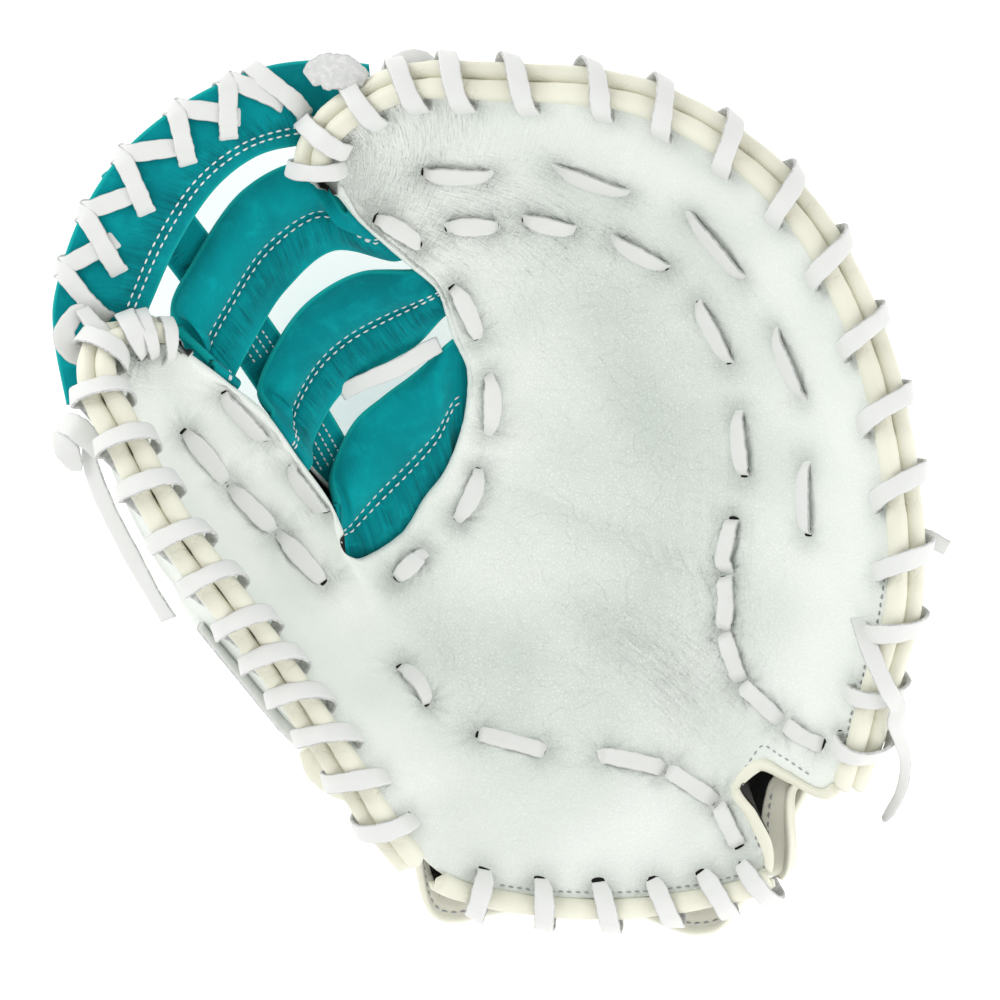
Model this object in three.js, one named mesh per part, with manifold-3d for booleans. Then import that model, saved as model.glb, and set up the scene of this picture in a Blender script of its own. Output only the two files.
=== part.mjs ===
// First baseman mitt lying on its back with the palm up.
// Units are millimetres, +Z is up, the heel points to -Y and the thumb to -X.
// The origin is on the flattened patch of the back that the mitt rests on.
import * as THREE from 'three';
import { ConvexGeometry } from 'three/addons/geometries/ConvexGeometry.js';
import { mergeVertices } from 'three/addons/utils/BufferGeometryUtils.js';
import Module from 'manifold-3d';

const wasm = await Module();
wasm.setup();

// Driving sizes
const mittWidth = 301;
const mittLength = 298;
const mittHeight = 104;
const palmPad = 8;
const edgePad = 4;
const backWall = 2.5;
const edgeDepth = 12;
const handDepth = 45;
const rollRadius = 3.4;
const bindingRadius = 1.7;
const laceWidth = 5.8;
const laceThickness = 1.7;
const webThickness = 3.2;
const webTuck = 7;
const barCrown = 1.5;
const postWidth = 15;
const strapThickness = 3;
const liningThickness = 1.2;
const furThickness = 4;
const furOverhang = 1.5;
const clearance = 0.35;
const laceSlack = 1.6;
const slotClearance = 0.4;
// Where the middle of the flat rest patch lies, as shares of the width and the length
const restAcross = 0.12;
const restUp = 0.10;

const palmColour = 0xe4eae2;
const creamColour = 0xdedccb;
const laceColour = 0xf3f3f0;
const tealColour = 0x0a98a0;
const blackColour = 0x141414;
const furColour = 0x2b2a28;

// Rows of the three palm curves: station along the horseshoe, then shares of
// the mitt's width, length and height
const innerEdge = [
  [0, -0.456, 0.381, 0.83],
  [2, -0.445, 0.368, 0.81],
  [4, -0.409, 0.340, 0.75],
  [5, -0.370, 0.308, 0.67],
  [6, -0.335, 0.258, 0.58],
  [7, -0.302, 0.211, 0.50],
  [8, -0.284, 0.166, 0.44],
  [10, -0.264, 0.148, 0.39],
  [12, -0.248, 0.149, 0.37],
  [15, -0.210, 0.176, 0.35],
  [19, -0.183, 0.217, 0.35],
  [22, -0.161, 0.244, 0.37],
  [24, -0.147, 0.274, 0.39],
  [26, -0.134, 0.325, 0.44],
  [27.5, -0.133, 0.367, 0.49],
  [29, -0.149, 0.405, 0.53],
  [31, -0.166, 0.456, 0.59],
  [33, -0.201, 0.490, 0.65],
  [35, -0.251, 0.534, 0.73],
  [37, -0.275, 0.566, 0.77],
  [38, -0.280, 0.572, 0.78],
];
const palmCrease = [
  [0, -0.463, 0.388, 0.84],
  [1, -0.485, 0.371, 0.83],
  [3, -0.480, 0.325, 0.72],
  [5, -0.423, 0.251, 0.56],
  [7, -0.339, 0.148, 0.41],
  [9, -0.226, 0.034, 0.37],
  [11, -0.156, -0.046, 0.37],
  [13, -0.056, -0.071, 0.37],
  [15, 0.080, -0.078, 0.38],
  [16.5, 0.122, -0.054, 0.39],
  [18, 0.148, -0.022, 0.40],
  [19.5, 0.172, 0.016, 0.41],
  [21, 0.190, 0.060, 0.42],
  [23, 0.186, 0.125, 0.41],
  [25, 0.172, 0.205, 0.40],
  [27, 0.149, 0.365, 0.44],
  [29, 0.079, 0.481, 0.50],
  [31, -0.034, 0.534, 0.55],
  [33, -0.152, 0.567, 0.63],
  [35, -0.237, 0.588, 0.73],
  [37, -0.280, 0.591, 0.78],
  [38, -0.284, 0.579, 0.79],
];
const palmRim = [
  [0, -0.472, 0.392, 0.85],
  [1, -0.508, 0.393, 0.88],
  [2, -0.529, 0.381, 0.91],
  [3, -0.529, 0.345, 0.92],
  [4, -0.511, 0.308, 0.92],
  [6, -0.451, 0.196, 0.89],
  [8, -0.350, 0.059, 0.81],
  [10, -0.252, -0.087, 0.70],
  [11, -0.203, -0.163, 0.63],
  [12, -0.144, -0.216, 0.57],
  [13.5, 0.011, -0.238, 0.52],
  [15, 0.149, -0.221, 0.54],
  [16, 0.195, -0.198, 0.56],
  [17, 0.178, -0.139, 0.52],
  [17.6, 0.167, -0.108, 0.49],
  [18.4, 0.194, -0.078, 0.49],
  [19.2, 0.222, -0.091, 0.53],
  [20, 0.264, -0.111, 0.58],
  [21, 0.286, -0.066, 0.64],
  [22, 0.302, -0.002, 0.71],
  [23.5, 0.330, 0.103, 0.81],
  [25, 0.327, 0.228, 0.86],
  [27, 0.288, 0.399, 0.89],
  [29, 0.201, 0.550, 0.92],
  [31, 0.056, 0.648, 0.94],
  [33, -0.126, 0.668, 0.93],
  [34, -0.201, 0.667, 0.91],
  [35, -0.251, 0.645, 0.88],
  [36, -0.278, 0.624, 0.86],
  [37, -0.289, 0.604, 0.83],
  [38, -0.289, 0.586, 0.81],
];
const firstStation = 0;
const lastStation = 38;
const heelStart = 11.4;
const notchStart = 15.9;
const notchEnd = 20.2;
const fingerStart = 20.4;

// Depth of the hand space behind the palm: station, share of handDepth
const handRoom = [
  [0, 0.30],
  [4, 0.50],
  [8, 0.85],
  [12, 1.00],
  [24, 1.00],
  [28, 0.85],
  [32, 0.62],
  [36, 0.35],
  [38, 0.28],
];

// How far the back leather reaches across: station, share
const backReach = [
  [0, 0.97],
  [10.2, 0.97],
  [11.2, 0.90],
  [12.6, 0.34],
  [14, 0.30],
  [18, 0.30],
  [19.6, 0.36],
  [20.6, 0.90],
  [21.2, 0.97],
  [38, 0.97],
];

// Running laces on the palm: start and end of each stretch that shows, as
// shares of the mitt's width and length seen from above
const palmLaces = {
  lace_finger_row: [
    [-0.186, 0.587, -0.114, 0.585],
    [-0.037, 0.593, 0.040, 0.566],
    [0.112, 0.536, 0.169, 0.470],
    [0.208, 0.407, 0.236, 0.334],
    [0.243, 0.257, 0.245, 0.178],
  ],
  lace_crease_top: [
    [-0.239, 0.536, -0.192, 0.506],
    [-0.160, 0.528, -0.105, 0.528],
    [-0.073, 0.536, -0.018, 0.525],
    [0.027, 0.513, 0.086, 0.482],
    [0.123, 0.441, 0.158, 0.375],
    [0.168, 0.315, 0.174, 0.245],
  ],
  lace_crease_chain: [
    [0.161, 0.194, 0.155, 0.137],
    [0.154, 0.127, 0.151, 0.071],
    [0.153, 0.061, 0.169, 0.013],
    [0.174, 0.003, 0.213, -0.034],
    [0.223, -0.041, 0.262, -0.062],
  ],
  lace_web_edge: [
    [-0.158, 0.456, -0.126, 0.403],
    [-0.113, 0.356, -0.113, 0.295],
    [-0.125, 0.250, -0.149, 0.195],
    [-0.191, 0.155, -0.219, 0.127],
  ],
  lace_heel_chain: [
    [-0.126, -0.052, -0.053, -0.071],
    [0.016, -0.076, 0.081, -0.090],
    [0.090, -0.094, 0.140, -0.126],
    [0.147, -0.134, 0.168, -0.178],
  ],
  lace_thumb_row: [
    [-0.456, 0.294, -0.411, 0.237],
    [-0.405, 0.230, -0.358, 0.182],
    [-0.350, 0.176, -0.303, 0.122],
  ],
  lace_thumb_web: [
    [-0.410, 0.337, -0.367, 0.283],
    [-0.336, 0.255, -0.301, 0.203],
  ],
  lace_thumb_crease: [
    [-0.214, 0.026, -0.185, -0.017],
  ],
};

// Stations of the holes of the laces that wrap the rim, and how far each
// wrap leans before it goes through the back
const thumbWraps = [1.0, 2.2, 3.4, 4.6, 5.5, 6.4, 7.1, 7.8, 8.4, 9.0, 9.6, 10.25, 10.9];
const fingerWraps = [
  21.0, 21.9, 22.9, 23.85, 24.8, 25.8, 26.8, 27.8, 28.75, 29.7, 30.6, 31.4, 32.3, 33.1, 33.8, 34.7, 36.2,
];
const heelWraps = [12.2, 12.85, 13.5, 14.15, 14.8, 15.5];
const bandWraps = [0.06, 0.18, 0.30, 0.42, 0.54, 0.66, 0.78, 0.90];
const thumbLean = -0.35;
const fingerLean = 0.42;
const heelLean = 0.18;
const bandLean = 0.05;

// Web bars: stations of the corners on the thumb edge and the finger edge,
// then rows across the middle: outer corner and inner corner, each as shares
// of the mitt's width, length and height
const webBars = {
  web_bar_upper: {
    thumb: [3.3, 4.3],
    finger: [35.6, 33.2],
    rows: [
      [-0.469, 0.425, 0.68, -0.410, 0.345, 0.63],
      [-0.445, 0.485, 0.68, -0.380, 0.405, 0.61],
      [-0.390, 0.565, 0.68, -0.345, 0.460, 0.59],
      [-0.318, 0.597, 0.66, -0.290, 0.505, 0.58],
    ],
  },
  web_bar_middle: {
    thumb: [5.2, 6.3],
    finger: [32.2, 29.8],
    rows: [
      [-0.372, 0.345, 0.55, -0.317, 0.285, 0.46],
      [-0.345, 0.405, 0.54, -0.290, 0.335, 0.45],
      [-0.310, 0.446, 0.53, -0.250, 0.368, 0.45],
      [-0.258, 0.474, 0.53, -0.200, 0.396, 0.46],
    ],
  },
  web_bar_lower: {
    thumb: [7.2, 9.2],
    finger: [28.6, 24.0],
    rows: [
      [-0.292, 0.245, 0.40, -0.258, 0.142, 0.31],
      [-0.268, 0.300, 0.40, -0.218, 0.163, 0.29],
      [-0.233, 0.332, 0.41, -0.184, 0.200, 0.28],
      [-0.196, 0.360, 0.43, -0.158, 0.240, 0.30],
    ],
  },
};
// Outer band of the web: outer corner and inner corner, as in the bars' rows
const outerBand = [
  [-0.585, 0.325, 0.70, -0.515, 0.325, 0.70],
  [-0.598, 0.395, 0.72, -0.525, 0.385, 0.71],
  [-0.597, 0.450, 0.77, -0.502, 0.430, 0.75],
  [-0.568, 0.535, 0.83, -0.468, 0.505, 0.79],
  [-0.518, 0.610, 0.85, -0.425, 0.570, 0.81],
  [-0.448, 0.666, 0.85, -0.378, 0.608, 0.80],
  [-0.368, 0.702, 0.81, -0.330, 0.622, 0.76],
  [-0.300, 0.712, 0.74, -0.285, 0.625, 0.70],
  [-0.250, 0.708, 0.69, -0.252, 0.640, 0.68],
];
// Post behind the bars: its middle line, as shares of width, length and height
const postLine = [
  [-0.525, 0.600, 0.795],
  [-0.470, 0.525, 0.685],
  [-0.412, 0.445, 0.585],
  [-0.339, 0.336, 0.44],
  [-0.277, 0.228, 0.300],
  [-0.262, 0.200, 0.272],
];
// Lace ends outside the rim: station of the rim, then millimetres ahead along
// it, outward across the rolls, off the palm and straight down
const rimEnds = {
  corner_lace: [
    [23.33, 0, -4.6, 4.0, 0],
    [23.12, 0, -3.0, 7.6, 0],
    [22.85, 0, 0.0, 9.4, 0],
    [22.50, 0, 5.0, 9.6, 0],
    [22.15, 0, 14.0, 4.0, 0],
    [21.85, 0, 15.0, -6.0, 0],
    [21.60, -3, 12.5, -14.5, 2],
    [21.60, -12, 12.0, -17.5, 9],
    [21.60, -22, 12.0, -17.5, 19],
    [21.60, -31, 12.0, -15.0, 29],
    [21.60, -37, 12.0, -11.0, 35],
  ],
  side_tail: [
    [5.05, 0, -9.5, -18.8, 0],
    [5.50, 0, -12.0, -19.5, 0],
    [6.00, 0, -15.0, -20.0, 0],
    [6.50, 0, -17.5, -20.5, 0],
    [6.90, 0, -19.0, -21.0, 0],
  ],
  tip_end_thumb: [
    [1.90, 0, 6.6, -19.4, 0],
    [1.65, 0, 10.0, -19.2, 0],
    [1.35, 0, 14.0, -17.8, 0],
    [1.15, 0, 18.0, -16.0, 0],
  ],
  tip_end_finger: [
    [33.55, 0, 2.0, -19.2, 0],
    [34.00, 0, 6.0, -20.0, 0],
    [34.40, 0, 10.0, -19.4, 0],
  ],
  side_end_finger: [
    [24.75, 0, -4.0, -12.8, 0],
    [24.70, 0, -1.0, -14.6, 0],
    [24.64, 0, 1.5, -18.6, 0],
  ],
};
// Straps that lie on the back leather: station, share across, half width and half depth in millimetres
const backStraps = {
  side_knot: [
    [3.80, 0.90, 3.0, 2.6],
    [4.10, 0.90, 5.6, 4.6],
    [4.55, 0.90, 5.6, 4.6],
    [4.85, 0.90, 3.0, 2.6],
  ],
  thumb_strap: [
    [7.1, 0.89, 5.0, 1.4],
    [7.5, 0.885, 5.0, 1.4],
    [7.9, 0.88, 5.0, 1.4],
    [8.6, 0.87, 5.0, 1.4],
    [9.0, 0.86, 5.0, 1.4],
  ],
  pull_roll: [
    [9.2, 0.84, 3.4, 2.6],
    [9.6, 0.84, 5.4, 4.6],
    [10.1, 0.84, 5.0, 4.2],
    [10.6, 0.83, 3.0, 2.4],
  ],
  pull_lace: [
    [10.72, 0.84, 2.6, 0.9],
    [10.95, 0.87, 2.6, 0.9],
    [11.20, 0.89, 2.6, 0.9],
    [11.45, 0.92, 2.6, 0.9],
  ],
};
// Wrist strap between its two ends: inner edge and outer edge, as in the bars' rows
const strapMiddle = [
  [-0.165, -0.130, 0.07, -0.178, -0.262, 0.13],
  [-0.080, -0.125, 0.05, -0.090, -0.258, 0.11],
  [0.020, -0.125, 0.05, 0.020, -0.250, 0.10],
  [0.110, -0.125, 0.06, 0.125, -0.284, 0.12],
  [0.175, -0.120, 0.10, 0.180, -0.240, 0.17],
];

const toPoint = (row) => new THREE.Vector3(row[0] * mittWidth, row[1] * mittLength, row[2] * mittHeight);

// Smooth value through rows whose first column is the station
function along(rows, station) {
  let i = 0;
  while (i < rows.length - 2 && station > rows[i + 1][0]) {
    i += 1;
  }
  const slope = (k, c) => {
    const a = rows[Math.max(k - 1, 0)];
    const b = rows[Math.min(k + 1, rows.length - 1)];
    return (b[c] - a[c]) / (b[0] - a[0]);
  };
  const span = rows[i + 1][0] - rows[i][0];
  const x = Math.min(Math.max((station - rows[i][0]) / span, 0), 1);
  const x2 = x * x;
  const x3 = x2 * x;
  const out = [];
  for (let c = 1; c < rows[0].length; c += 1) {
    const start = rows[i][c] * (2 * x3 - 3 * x2 + 1) + rows[i + 1][c] * (3 * x2 - 2 * x3);
    out.push(start + span * (slope(i, c) * (x3 - 2 * x2 + x) + slope(i + 1, c) * (x3 - x2)));
  }
  return out;
}

// The rim without the sharp turns of the notch, which would crease the palm
function calmRim(station) {
  const spots = [-2.4, -1.2, 0, 1.2, 2.4].map((d) => {
    const inside = Math.min(Math.max(station + d, firstStation), lastStation);
    return toPoint(along(palmRim, inside));
  });
  return spots.reduce((a, b) => a.add(b)).divideScalar(spots.length);
}

// Point of the palm's front: station along the horseshoe, share from the web side to the rim
function palmPoint(station, share) {
  const a = toPoint(along(innerEdge, station));
  const b = toPoint(along(palmCrease, station));
  const c = toPoint(along(palmRim, station));
  const calm = calmRim(station);
  const first = a.distanceTo(b);
  const bend = Math.min(Math.max(first / (first + b.distanceTo(calm)), 0.4), 0.66);
  const slope = b.clone().sub(a).multiplyScalar((1 - bend) / bend);
  slope.addScaledVector(calm.sub(b), bend / (1 - bend));
  if (share < bend) {
    const x = share / bend;
    const chord = b.clone().sub(a);
    const start = chord.clone().multiplyScalar(2).addScaledVector(slope, -bend);
    return a.addScaledVector(start, x).addScaledVector(chord.sub(start), x * x);
  }
  const x = (share - bend) / (1 - bend);
  slope.multiplyScalar(1 - bend);
  const rest = c.sub(b).sub(slope);
  return b.addScaledVector(slope, x).addScaledVector(rest, x * x);
}

// The point with its directions: out across the palm, along the horseshoe and off the surface
function palmFrame(station, share) {
  const ds = 0.05;
  const dt = 0.01;
  const t0 = Math.max(share - dt, 0);
  const t1 = Math.min(share + dt, 1);
  const s0 = Math.max(station - ds, firstStation);
  const s1 = Math.min(station + ds, lastStation);
  const out = palmPoint(station, t1).sub(palmPoint(station, t0)).normalize();
  const forward = palmPoint(s1, share).sub(palmPoint(s0, share)).normalize();
  const off = out.clone().cross(forward).normalize();
  return { point: palmPoint(station, share), out, forward, off };
}

const padDepth = (share) => edgePad + (palmPad - edgePad) * Math.sin(Math.PI * share);

// Point of the back at a height inside its outer face, flattened where the mitt rests
function backPoint(station, share, inside) {
  const frame = palmFrame(station, share);
  const room = along(handRoom, station)[0];
  const depth = edgeDepth + (handDepth * room - edgeDepth) * Math.sin(Math.PI * share);
  const point = frame.point.addScaledVector(frame.off, inside - depth);
  point.z = Math.max(point.z, inside);
  return point;
}

// Solid through rings of points, closed at both ends
function loft(rings) {
  const count = rings[0].length;
  const positions = rings.flat().flatMap((p) => [p.x, p.y, p.z]);
  const faces = [];
  for (let i = 0; i < rings.length - 1; i += 1) {
    for (let j = 0; j < count; j += 1) {
      const k = (j + 1) % count;
      const a = i * count + j;
      const b = i * count + k;
      faces.push(a, b, b + count, a, b + count, a + count);
    }
  }
  const last = (rings.length - 1) * count;
  for (let j = 0; j < count / 2 - 1; j += 1) {
    const k = count - 1 - j;
    faces.push(j, k, k - 1, j, k - 1, j + 1);
    faces.push(last + j, last + k - 1, last + k, last + j, last + j + 1, last + k - 1);
  }
  const geometry = new THREE.BufferGeometry();
  geometry.setAttribute('position', new THREE.Float32BufferAttribute(positions, 3));
  geometry.setIndex(faces);
  return facingOut(mergeVertices(geometry, 1e-3));
}

function facingOut(geometry) {
  const p = geometry.attributes.position;
  const index = geometry.index.array;
  const a = new THREE.Vector3();
  const b = new THREE.Vector3();
  const c = new THREE.Vector3();
  let volume = 0;
  for (let i = 0; i < index.length; i += 3) {
    a.fromBufferAttribute(p, index[i]);
    b.fromBufferAttribute(p, index[i + 1]);
    c.fromBufferAttribute(p, index[i + 2]);
    volume += a.dot(b.cross(c));
  }
  if (volume < 0) {
    for (let i = 0; i < index.length; i += 3) {
      [index[i + 1], index[i + 2]] = [index[i + 2], index[i + 1]];
    }
  }
  return geometry;
}

function toSolid(geometry) {
  const vertProperties = Float32Array.from(geometry.attributes.position.array);
  const triVerts = Uint32Array.from(geometry.index.array);
  return new wasm.Manifold(new wasm.Mesh({ numProp: 3, vertProperties, triVerts }));
}

// The piece without the room its neighbours need, and without loose crumbs of the cut
function cut(geometry, cutters) {
  const parts = cutters.reduce((a, b) => a.subtract(b), toSolid(geometry)).decompose();
  return toGeometry(parts.reduce((a, b) => (a.volume() > b.volume() ? a : b)));
}

function toGeometry(solid) {
  const mesh = solid.getMesh();
  const geometry = new THREE.BufferGeometry();
  const positions = new Float32Array(mesh.vertProperties);
  geometry.setAttribute('position', new THREE.BufferAttribute(positions, 3));
  geometry.setIndex(new THREE.BufferAttribute(new Uint32Array(mesh.triVerts), 1));
  return geometry;
}

const spread = (a, b, count) => Array.from({ length: count + 1 }, (_, i) => a + (b - a) * i / count);

// Sheet between an upper and a lower face, each a function of station and share
function sheet(stations, shares, upper, lower) {
  const rings = stations.map((s) => {
    const list = shares(s);
    const top = list.map((t) => upper(s, t));
    const bottom = list.map((t) => lower(s, t));
    return top.concat(bottom.reverse());
  });
  return loft(rings);
}

// Flat strap through points, with a hint at each point for its width direction
function strapRings(points, sides, width, thickness) {
  return points.map((p, i) => {
    const before = points[Math.max(i - 1, 0)];
    const after = points[Math.min(i + 1, points.length - 1)];
    const tangent = after.clone().sub(before).normalize();
    const normal = tangent.clone().cross(sides[i]).normalize();
    const side = normal.clone().cross(tangent).normalize();
    const corner = (a, b) => p.clone().addScaledVector(side, a * width / 2).addScaledVector(normal, b * thickness / 2);
    return [corner(-1, 1), corner(1, 1), corner(1, -1), corner(-1, -1)];
  });
}

// Width directions from the way the strap's face should look at each point
function facing(points, faces) {
  return points.map((p, i) => {
    const before = points[Math.max(i - 1, 0)];
    const after = points[Math.min(i + 1, points.length - 1)];
    return faces[i].clone().cross(after.clone().sub(before)).normalize();
  });
}

// Outward direction at each corner of a loop in a plane
function loopFaces(loop) {
  return loop.map((spot, i) => {
    const before = loop[(i + loop.length - 1) % loop.length];
    const after = loop[(i + 1) % loop.length];
    const face = [before[1] - after[1], after[0] - before[0]];
    const size = Math.hypot(...face);
    return [face[0] / size, face[1] / size];
  });
}

function strap(points, sides, extra = 0) {
  return loft(strapRings(points, sides, laceWidth + 2 * extra, laceThickness + 2 * extra));
}

// Room for a strap: one convex block for each of its steps, so that tight bends are covered too
function strapRoom(points, sides, extra) {
  const rings = strapRings(points, sides, laceWidth + 2 * extra, laceThickness + 2 * extra);
  const blocks = rings.slice(1).map((ring, i) => {
    const block = new ConvexGeometry(ring.concat(rings[i]));
    block.deleteAttribute('normal');
    return toSolid(mergeVertices(block, 1e-4));
  });
  return wasm.Manifold.union(blocks);
}

const rollSides = 6;
// Round roll along stations of the rim; lift and drop place its middle in the rim's own directions
function rimRoll(stations, radius, outward, drop) {
  const sides = rollSides;
  const rings = stations.map((s) => {
    const frame = palmFrame(s, 1);
    const middle = frame.point.addScaledVector(frame.out, outward).addScaledVector(frame.off, -drop);
    return spread(0, 2 * Math.PI, sides).slice(0, sides).map((angle) => middle.clone()
      .addScaledVector(frame.out, radius * Math.cos(angle))
      .addScaledVector(frame.off, radius * Math.sin(angle)));
  });
  return loft(rings);
}

// Lace wound round the rim: each turn comes up through the palm, crosses the rolls and goes in at the back
const innerReach = 5.2;
const outerReach = 2 * rollRadius + clearance + laceThickness / 2 + 2 * clearance;
const rollOutward = rollRadius + clearance;
const frontDrop = rollRadius * 0.45;
const backDrop = frontDrop + 2 * rollRadius + clearance;
const over = laceThickness / 2 + clearance;
const bindingOut = bindingRadius + clearance;
const turn = [
  [-innerReach, -0.5 * edgeDepth],
  [-0.85 * innerReach, over],
  [-0.1 * innerReach, over + 0.85 * rollRadius],
  [rollOutward + 0.35 * rollRadius, rollRadius - frontDrop + 1.95 * over + laceSlack],
  [outerReach + laceSlack, -frontDrop + 0.2 * rollRadius],
  [outerReach + laceSlack, -backDrop - 0.2 * rollRadius],
  [rollOutward + 0.35 * rollRadius, -backDrop - rollRadius - 1.95 * over - laceSlack],
  [-0.2 * innerReach, -edgeDepth - 2.2 * over],
  [-0.85 * innerReach, -edgeDepth - 1.9 * over],
];

function rimLacePath(holes, lean) {
  const points = [];
  const faces = [];
  const turnFaces = loopFaces(turn);
  holes.forEach((hole, i) => {
    const last = i + 1 < holes.length ? turn.length : turn.length - 1;
    for (let k = 0; k < last; k += 1) {
      const share = k === 0 ? 0 : Math.min(Math.max((k - 1) / (turn.length - 3), 0), 1);
      const station = hole + lean * share;
      const frame = palmFrame(Math.min(Math.max(station, firstStation), lastStation), 1);
      const [p, q] = turn[k];
      points.push(frame.point.clone().addScaledVector(frame.out, p).addScaledVector(frame.off, q));
      const [fp, fq] = turnFaces[k];
      faces.push(frame.out.clone().multiplyScalar(fp).addScaledVector(frame.off, fq));
    }
  });
  return { points, sides: facing(points, faces) };
}

const palmSpots = spread(firstStation, lastStation, 114).flatMap((s) => spread(0, 1, 16)
  .map((t) => ({ s, t, p: palmPoint(s, t) })));

// Where a place seen from above lies on the palm
function onPalm(x, y) {
  const away = ({ p }) => Math.hypot(p.x - x, p.y - y);
  let { s, t } = palmSpots.reduce((a, b) => (away(a) < away(b) ? a : b));
  for (let i = 0; i < 8; i += 1) {
    const p = palmPoint(s, t);
    const ps = palmPoint(s + 0.02, t).sub(p).divideScalar(0.02);
    const pt = palmPoint(s, t + 0.005).sub(p).divideScalar(0.005);
    const det = ps.x * pt.y - ps.y * pt.x;
    const dx = x - p.x;
    const dy = y - p.y;
    s += Math.min(Math.max((dx * pt.y - dy * pt.x) / det, -0.2), 0.2);
    t += Math.min(Math.max((ps.x * dy - ps.y * dx) / det, -0.04), 0.04);
    s = Math.min(Math.max(s, firstStation + 0.1), lastStation - 0.1);
    t = Math.min(Math.max(t, 0.03), 0.97);
  }
  return { s, t };
}

// Running lace: each stretch lies on the palm, and between stretches it runs inside the pad
const laceUp = laceThickness / 2 + clearance;
const laceDown = edgePad * 0.55;
const laceBow = 1.5;
const laceLift = 0.9;
function palmLacePath(rows) {
  const points = [];
  const offs = [];
  const add = (a, b, share, height) => {
    const frame = palmFrame(a.s + (b.s - a.s) * share, a.t + (b.t - a.t) * share);
    points.push(frame.point.clone().addScaledVector(frame.off, height));
    offs.push(frame.off);
  };
  const ends = rows.map((row) => [
    onPalm(row[0] * mittWidth, row[1] * mittLength),
    onPalm(row[2] * mittWidth, row[3] * mittLength),
  ]);
  ends.forEach(([a, b], i) => {
    if (i === 0) {
      add(a, b, 0.02, -laceDown);
    }
    [0.12, 0.5, 0.88].forEach((share, k) => add(a, b, share, laceUp + (k === 1 ? laceBow : laceLift)));
    if (i + 1 < ends.length) {
      const c = ends[i + 1][0];
      const near = palmPoint(b.s, b.t).distanceTo(palmPoint(c.s, c.t)) < laceWidth;
      if (near) {
        add(b, c, 0.5, -laceDown);
      } else {
        add(b, c, 0.15, -laceDown);
        add(b, c, 0.85, -laceDown);
      }
    } else {
      add(a, b, 0.98, -laceDown);
    }
  });
  return { points, sides: facing(points, offs) };
}

const edgeThin = 0.6;
// Ribbon of the web through rows of its two edges, crowned across
function ribbon(edges, thickness, crown) {
  const across = [0, 0.22, 0.78, 1];
  const rings = edges.map(([a, b, off]) => {
    const face = (h) => across.map((x) => a.clone().lerp(b, x)
      .addScaledVector(off, crown * 4 * x * (1 - x) + h * (x === 0 || x === 1 ? edgeThin : 1)));
    return face(thickness / 2).concat(face(-thickness / 2).reverse());
  });
  return loft(rings);
}

// The same ribbon with clearance at both edges and both ends
function grown(edges) {
  const last = edges.length - 1;
  return edges.map(([a, b, off], i) => {
    const side = b.clone().sub(a).normalize().multiplyScalar(2 * clearance);
    const near = edges[i === 0 ? 1 : Math.max(last - 1, 0)];
    const reach = (p, q) => (i === 0 || i === last
      ? p.clone().sub(q).normalize().multiplyScalar(2 * clearance)
      : new THREE.Vector3());
    const first = a.clone().sub(side).add(reach(a, near[0]));
    const second = b.clone().add(side).add(reach(b, near[1]));
    return [first, second, off];
  });
}

function smoothRows(rows, steps) {
  const numbered = rows.map((row, i) => [i, ...row]);
  return spread(0, rows.length - 1, steps).map((s) => along(numbered, s));
}

// Slit between palm and back at the inner edge, where the web bars are held
function webSeat(station, inset) {
  const frame = palmFrame(station, 0);
  const middle = edgePad + (edgeDepth - edgePad - backWall) / 2;
  const p = frame.point.clone().addScaledVector(frame.off, -middle).addScaledVector(frame.out, inset);
  return [p.x / mittWidth, p.y / mittLength, p.z / mittHeight];
}

function barEdges(bar) {
  const end = ([outer, inner], inset) => {
    const a = webSeat(outer, inset);
    const b = webSeat(inner, inset);
    return [...a, ...b];
  };
  const rows = [
    end(bar.thumb, webTuck),
    end(bar.thumb, 0),
    ...bar.rows,
    end(bar.finger, 0),
    end(bar.finger, webTuck),
  ];
  return withOff(smoothRows(rows, 12));
}

function withOff(rows) {
  const edges = rows.map((row) => [toPoint(row.slice(0, 3)), toPoint(row.slice(3, 6))]);
  return edges.map(([a, b], i) => {
    const before = edges[Math.max(i - 1, 0)];
    const after = edges[Math.min(i + 1, edges.length - 1)];
    const tangent = after[0].clone().add(after[1]).sub(before[0]).sub(before[1]).normalize();
    const off = b.clone().sub(a).cross(tangent).normalize();
    if (off.z < 0) {
      off.negate();
    }
    return [a, b, off];
  });
}

// Lace whipped over the outer edge of the web's band
function bandLacePath(edges) {
  const rows = edges.map(([a, b, off], i) => [i / (edges.length - 1), ...a, ...b, ...off]);
  const top = webThickness / 2 + over;
  const loop = [
    [1.5 * laceWidth, 0],
    [1.15 * laceWidth, top],
    [0.3 * laceWidth, top],
    [-over - clearance, 0],
    [0.3 * laceWidth, -top],
    [1.15 * laceWidth, -top],
  ];
  const points = [];
  const faces = [];
  const spotFaces = loopFaces(loop);
  bandWraps.forEach((hole) => {
    loop.forEach(([p, q], k) => {
      const v = along(rows, hole + bandLean * k / loop.length);
      const a = new THREE.Vector3(v[0], v[1], v[2]);
      const b = new THREE.Vector3(v[3], v[4], v[5]);
      const off = new THREE.Vector3(v[6], v[7], v[8]).normalize();
      const inward = b.sub(a).normalize();
      points.push(a.addScaledVector(inward, p).addScaledVector(off, q));
      const [fp, fq] = spotFaces[k];
      faces.push(inward.clone().multiplyScalar(fp).addScaledVector(off, fq));
    });
  });
  return { points, sides: facing(points, faces) };
}

const group = new THREE.Group();
function addPiece(name, geometry, colour, roughness = 0.6) {
  const material = new THREE.MeshStandardMaterial({ color: colour, roughness, metalness: 0 });
  const mesh = new THREE.Mesh(geometry, material);
  mesh.name = name;
  group.add(mesh);
  return mesh;
}

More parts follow.
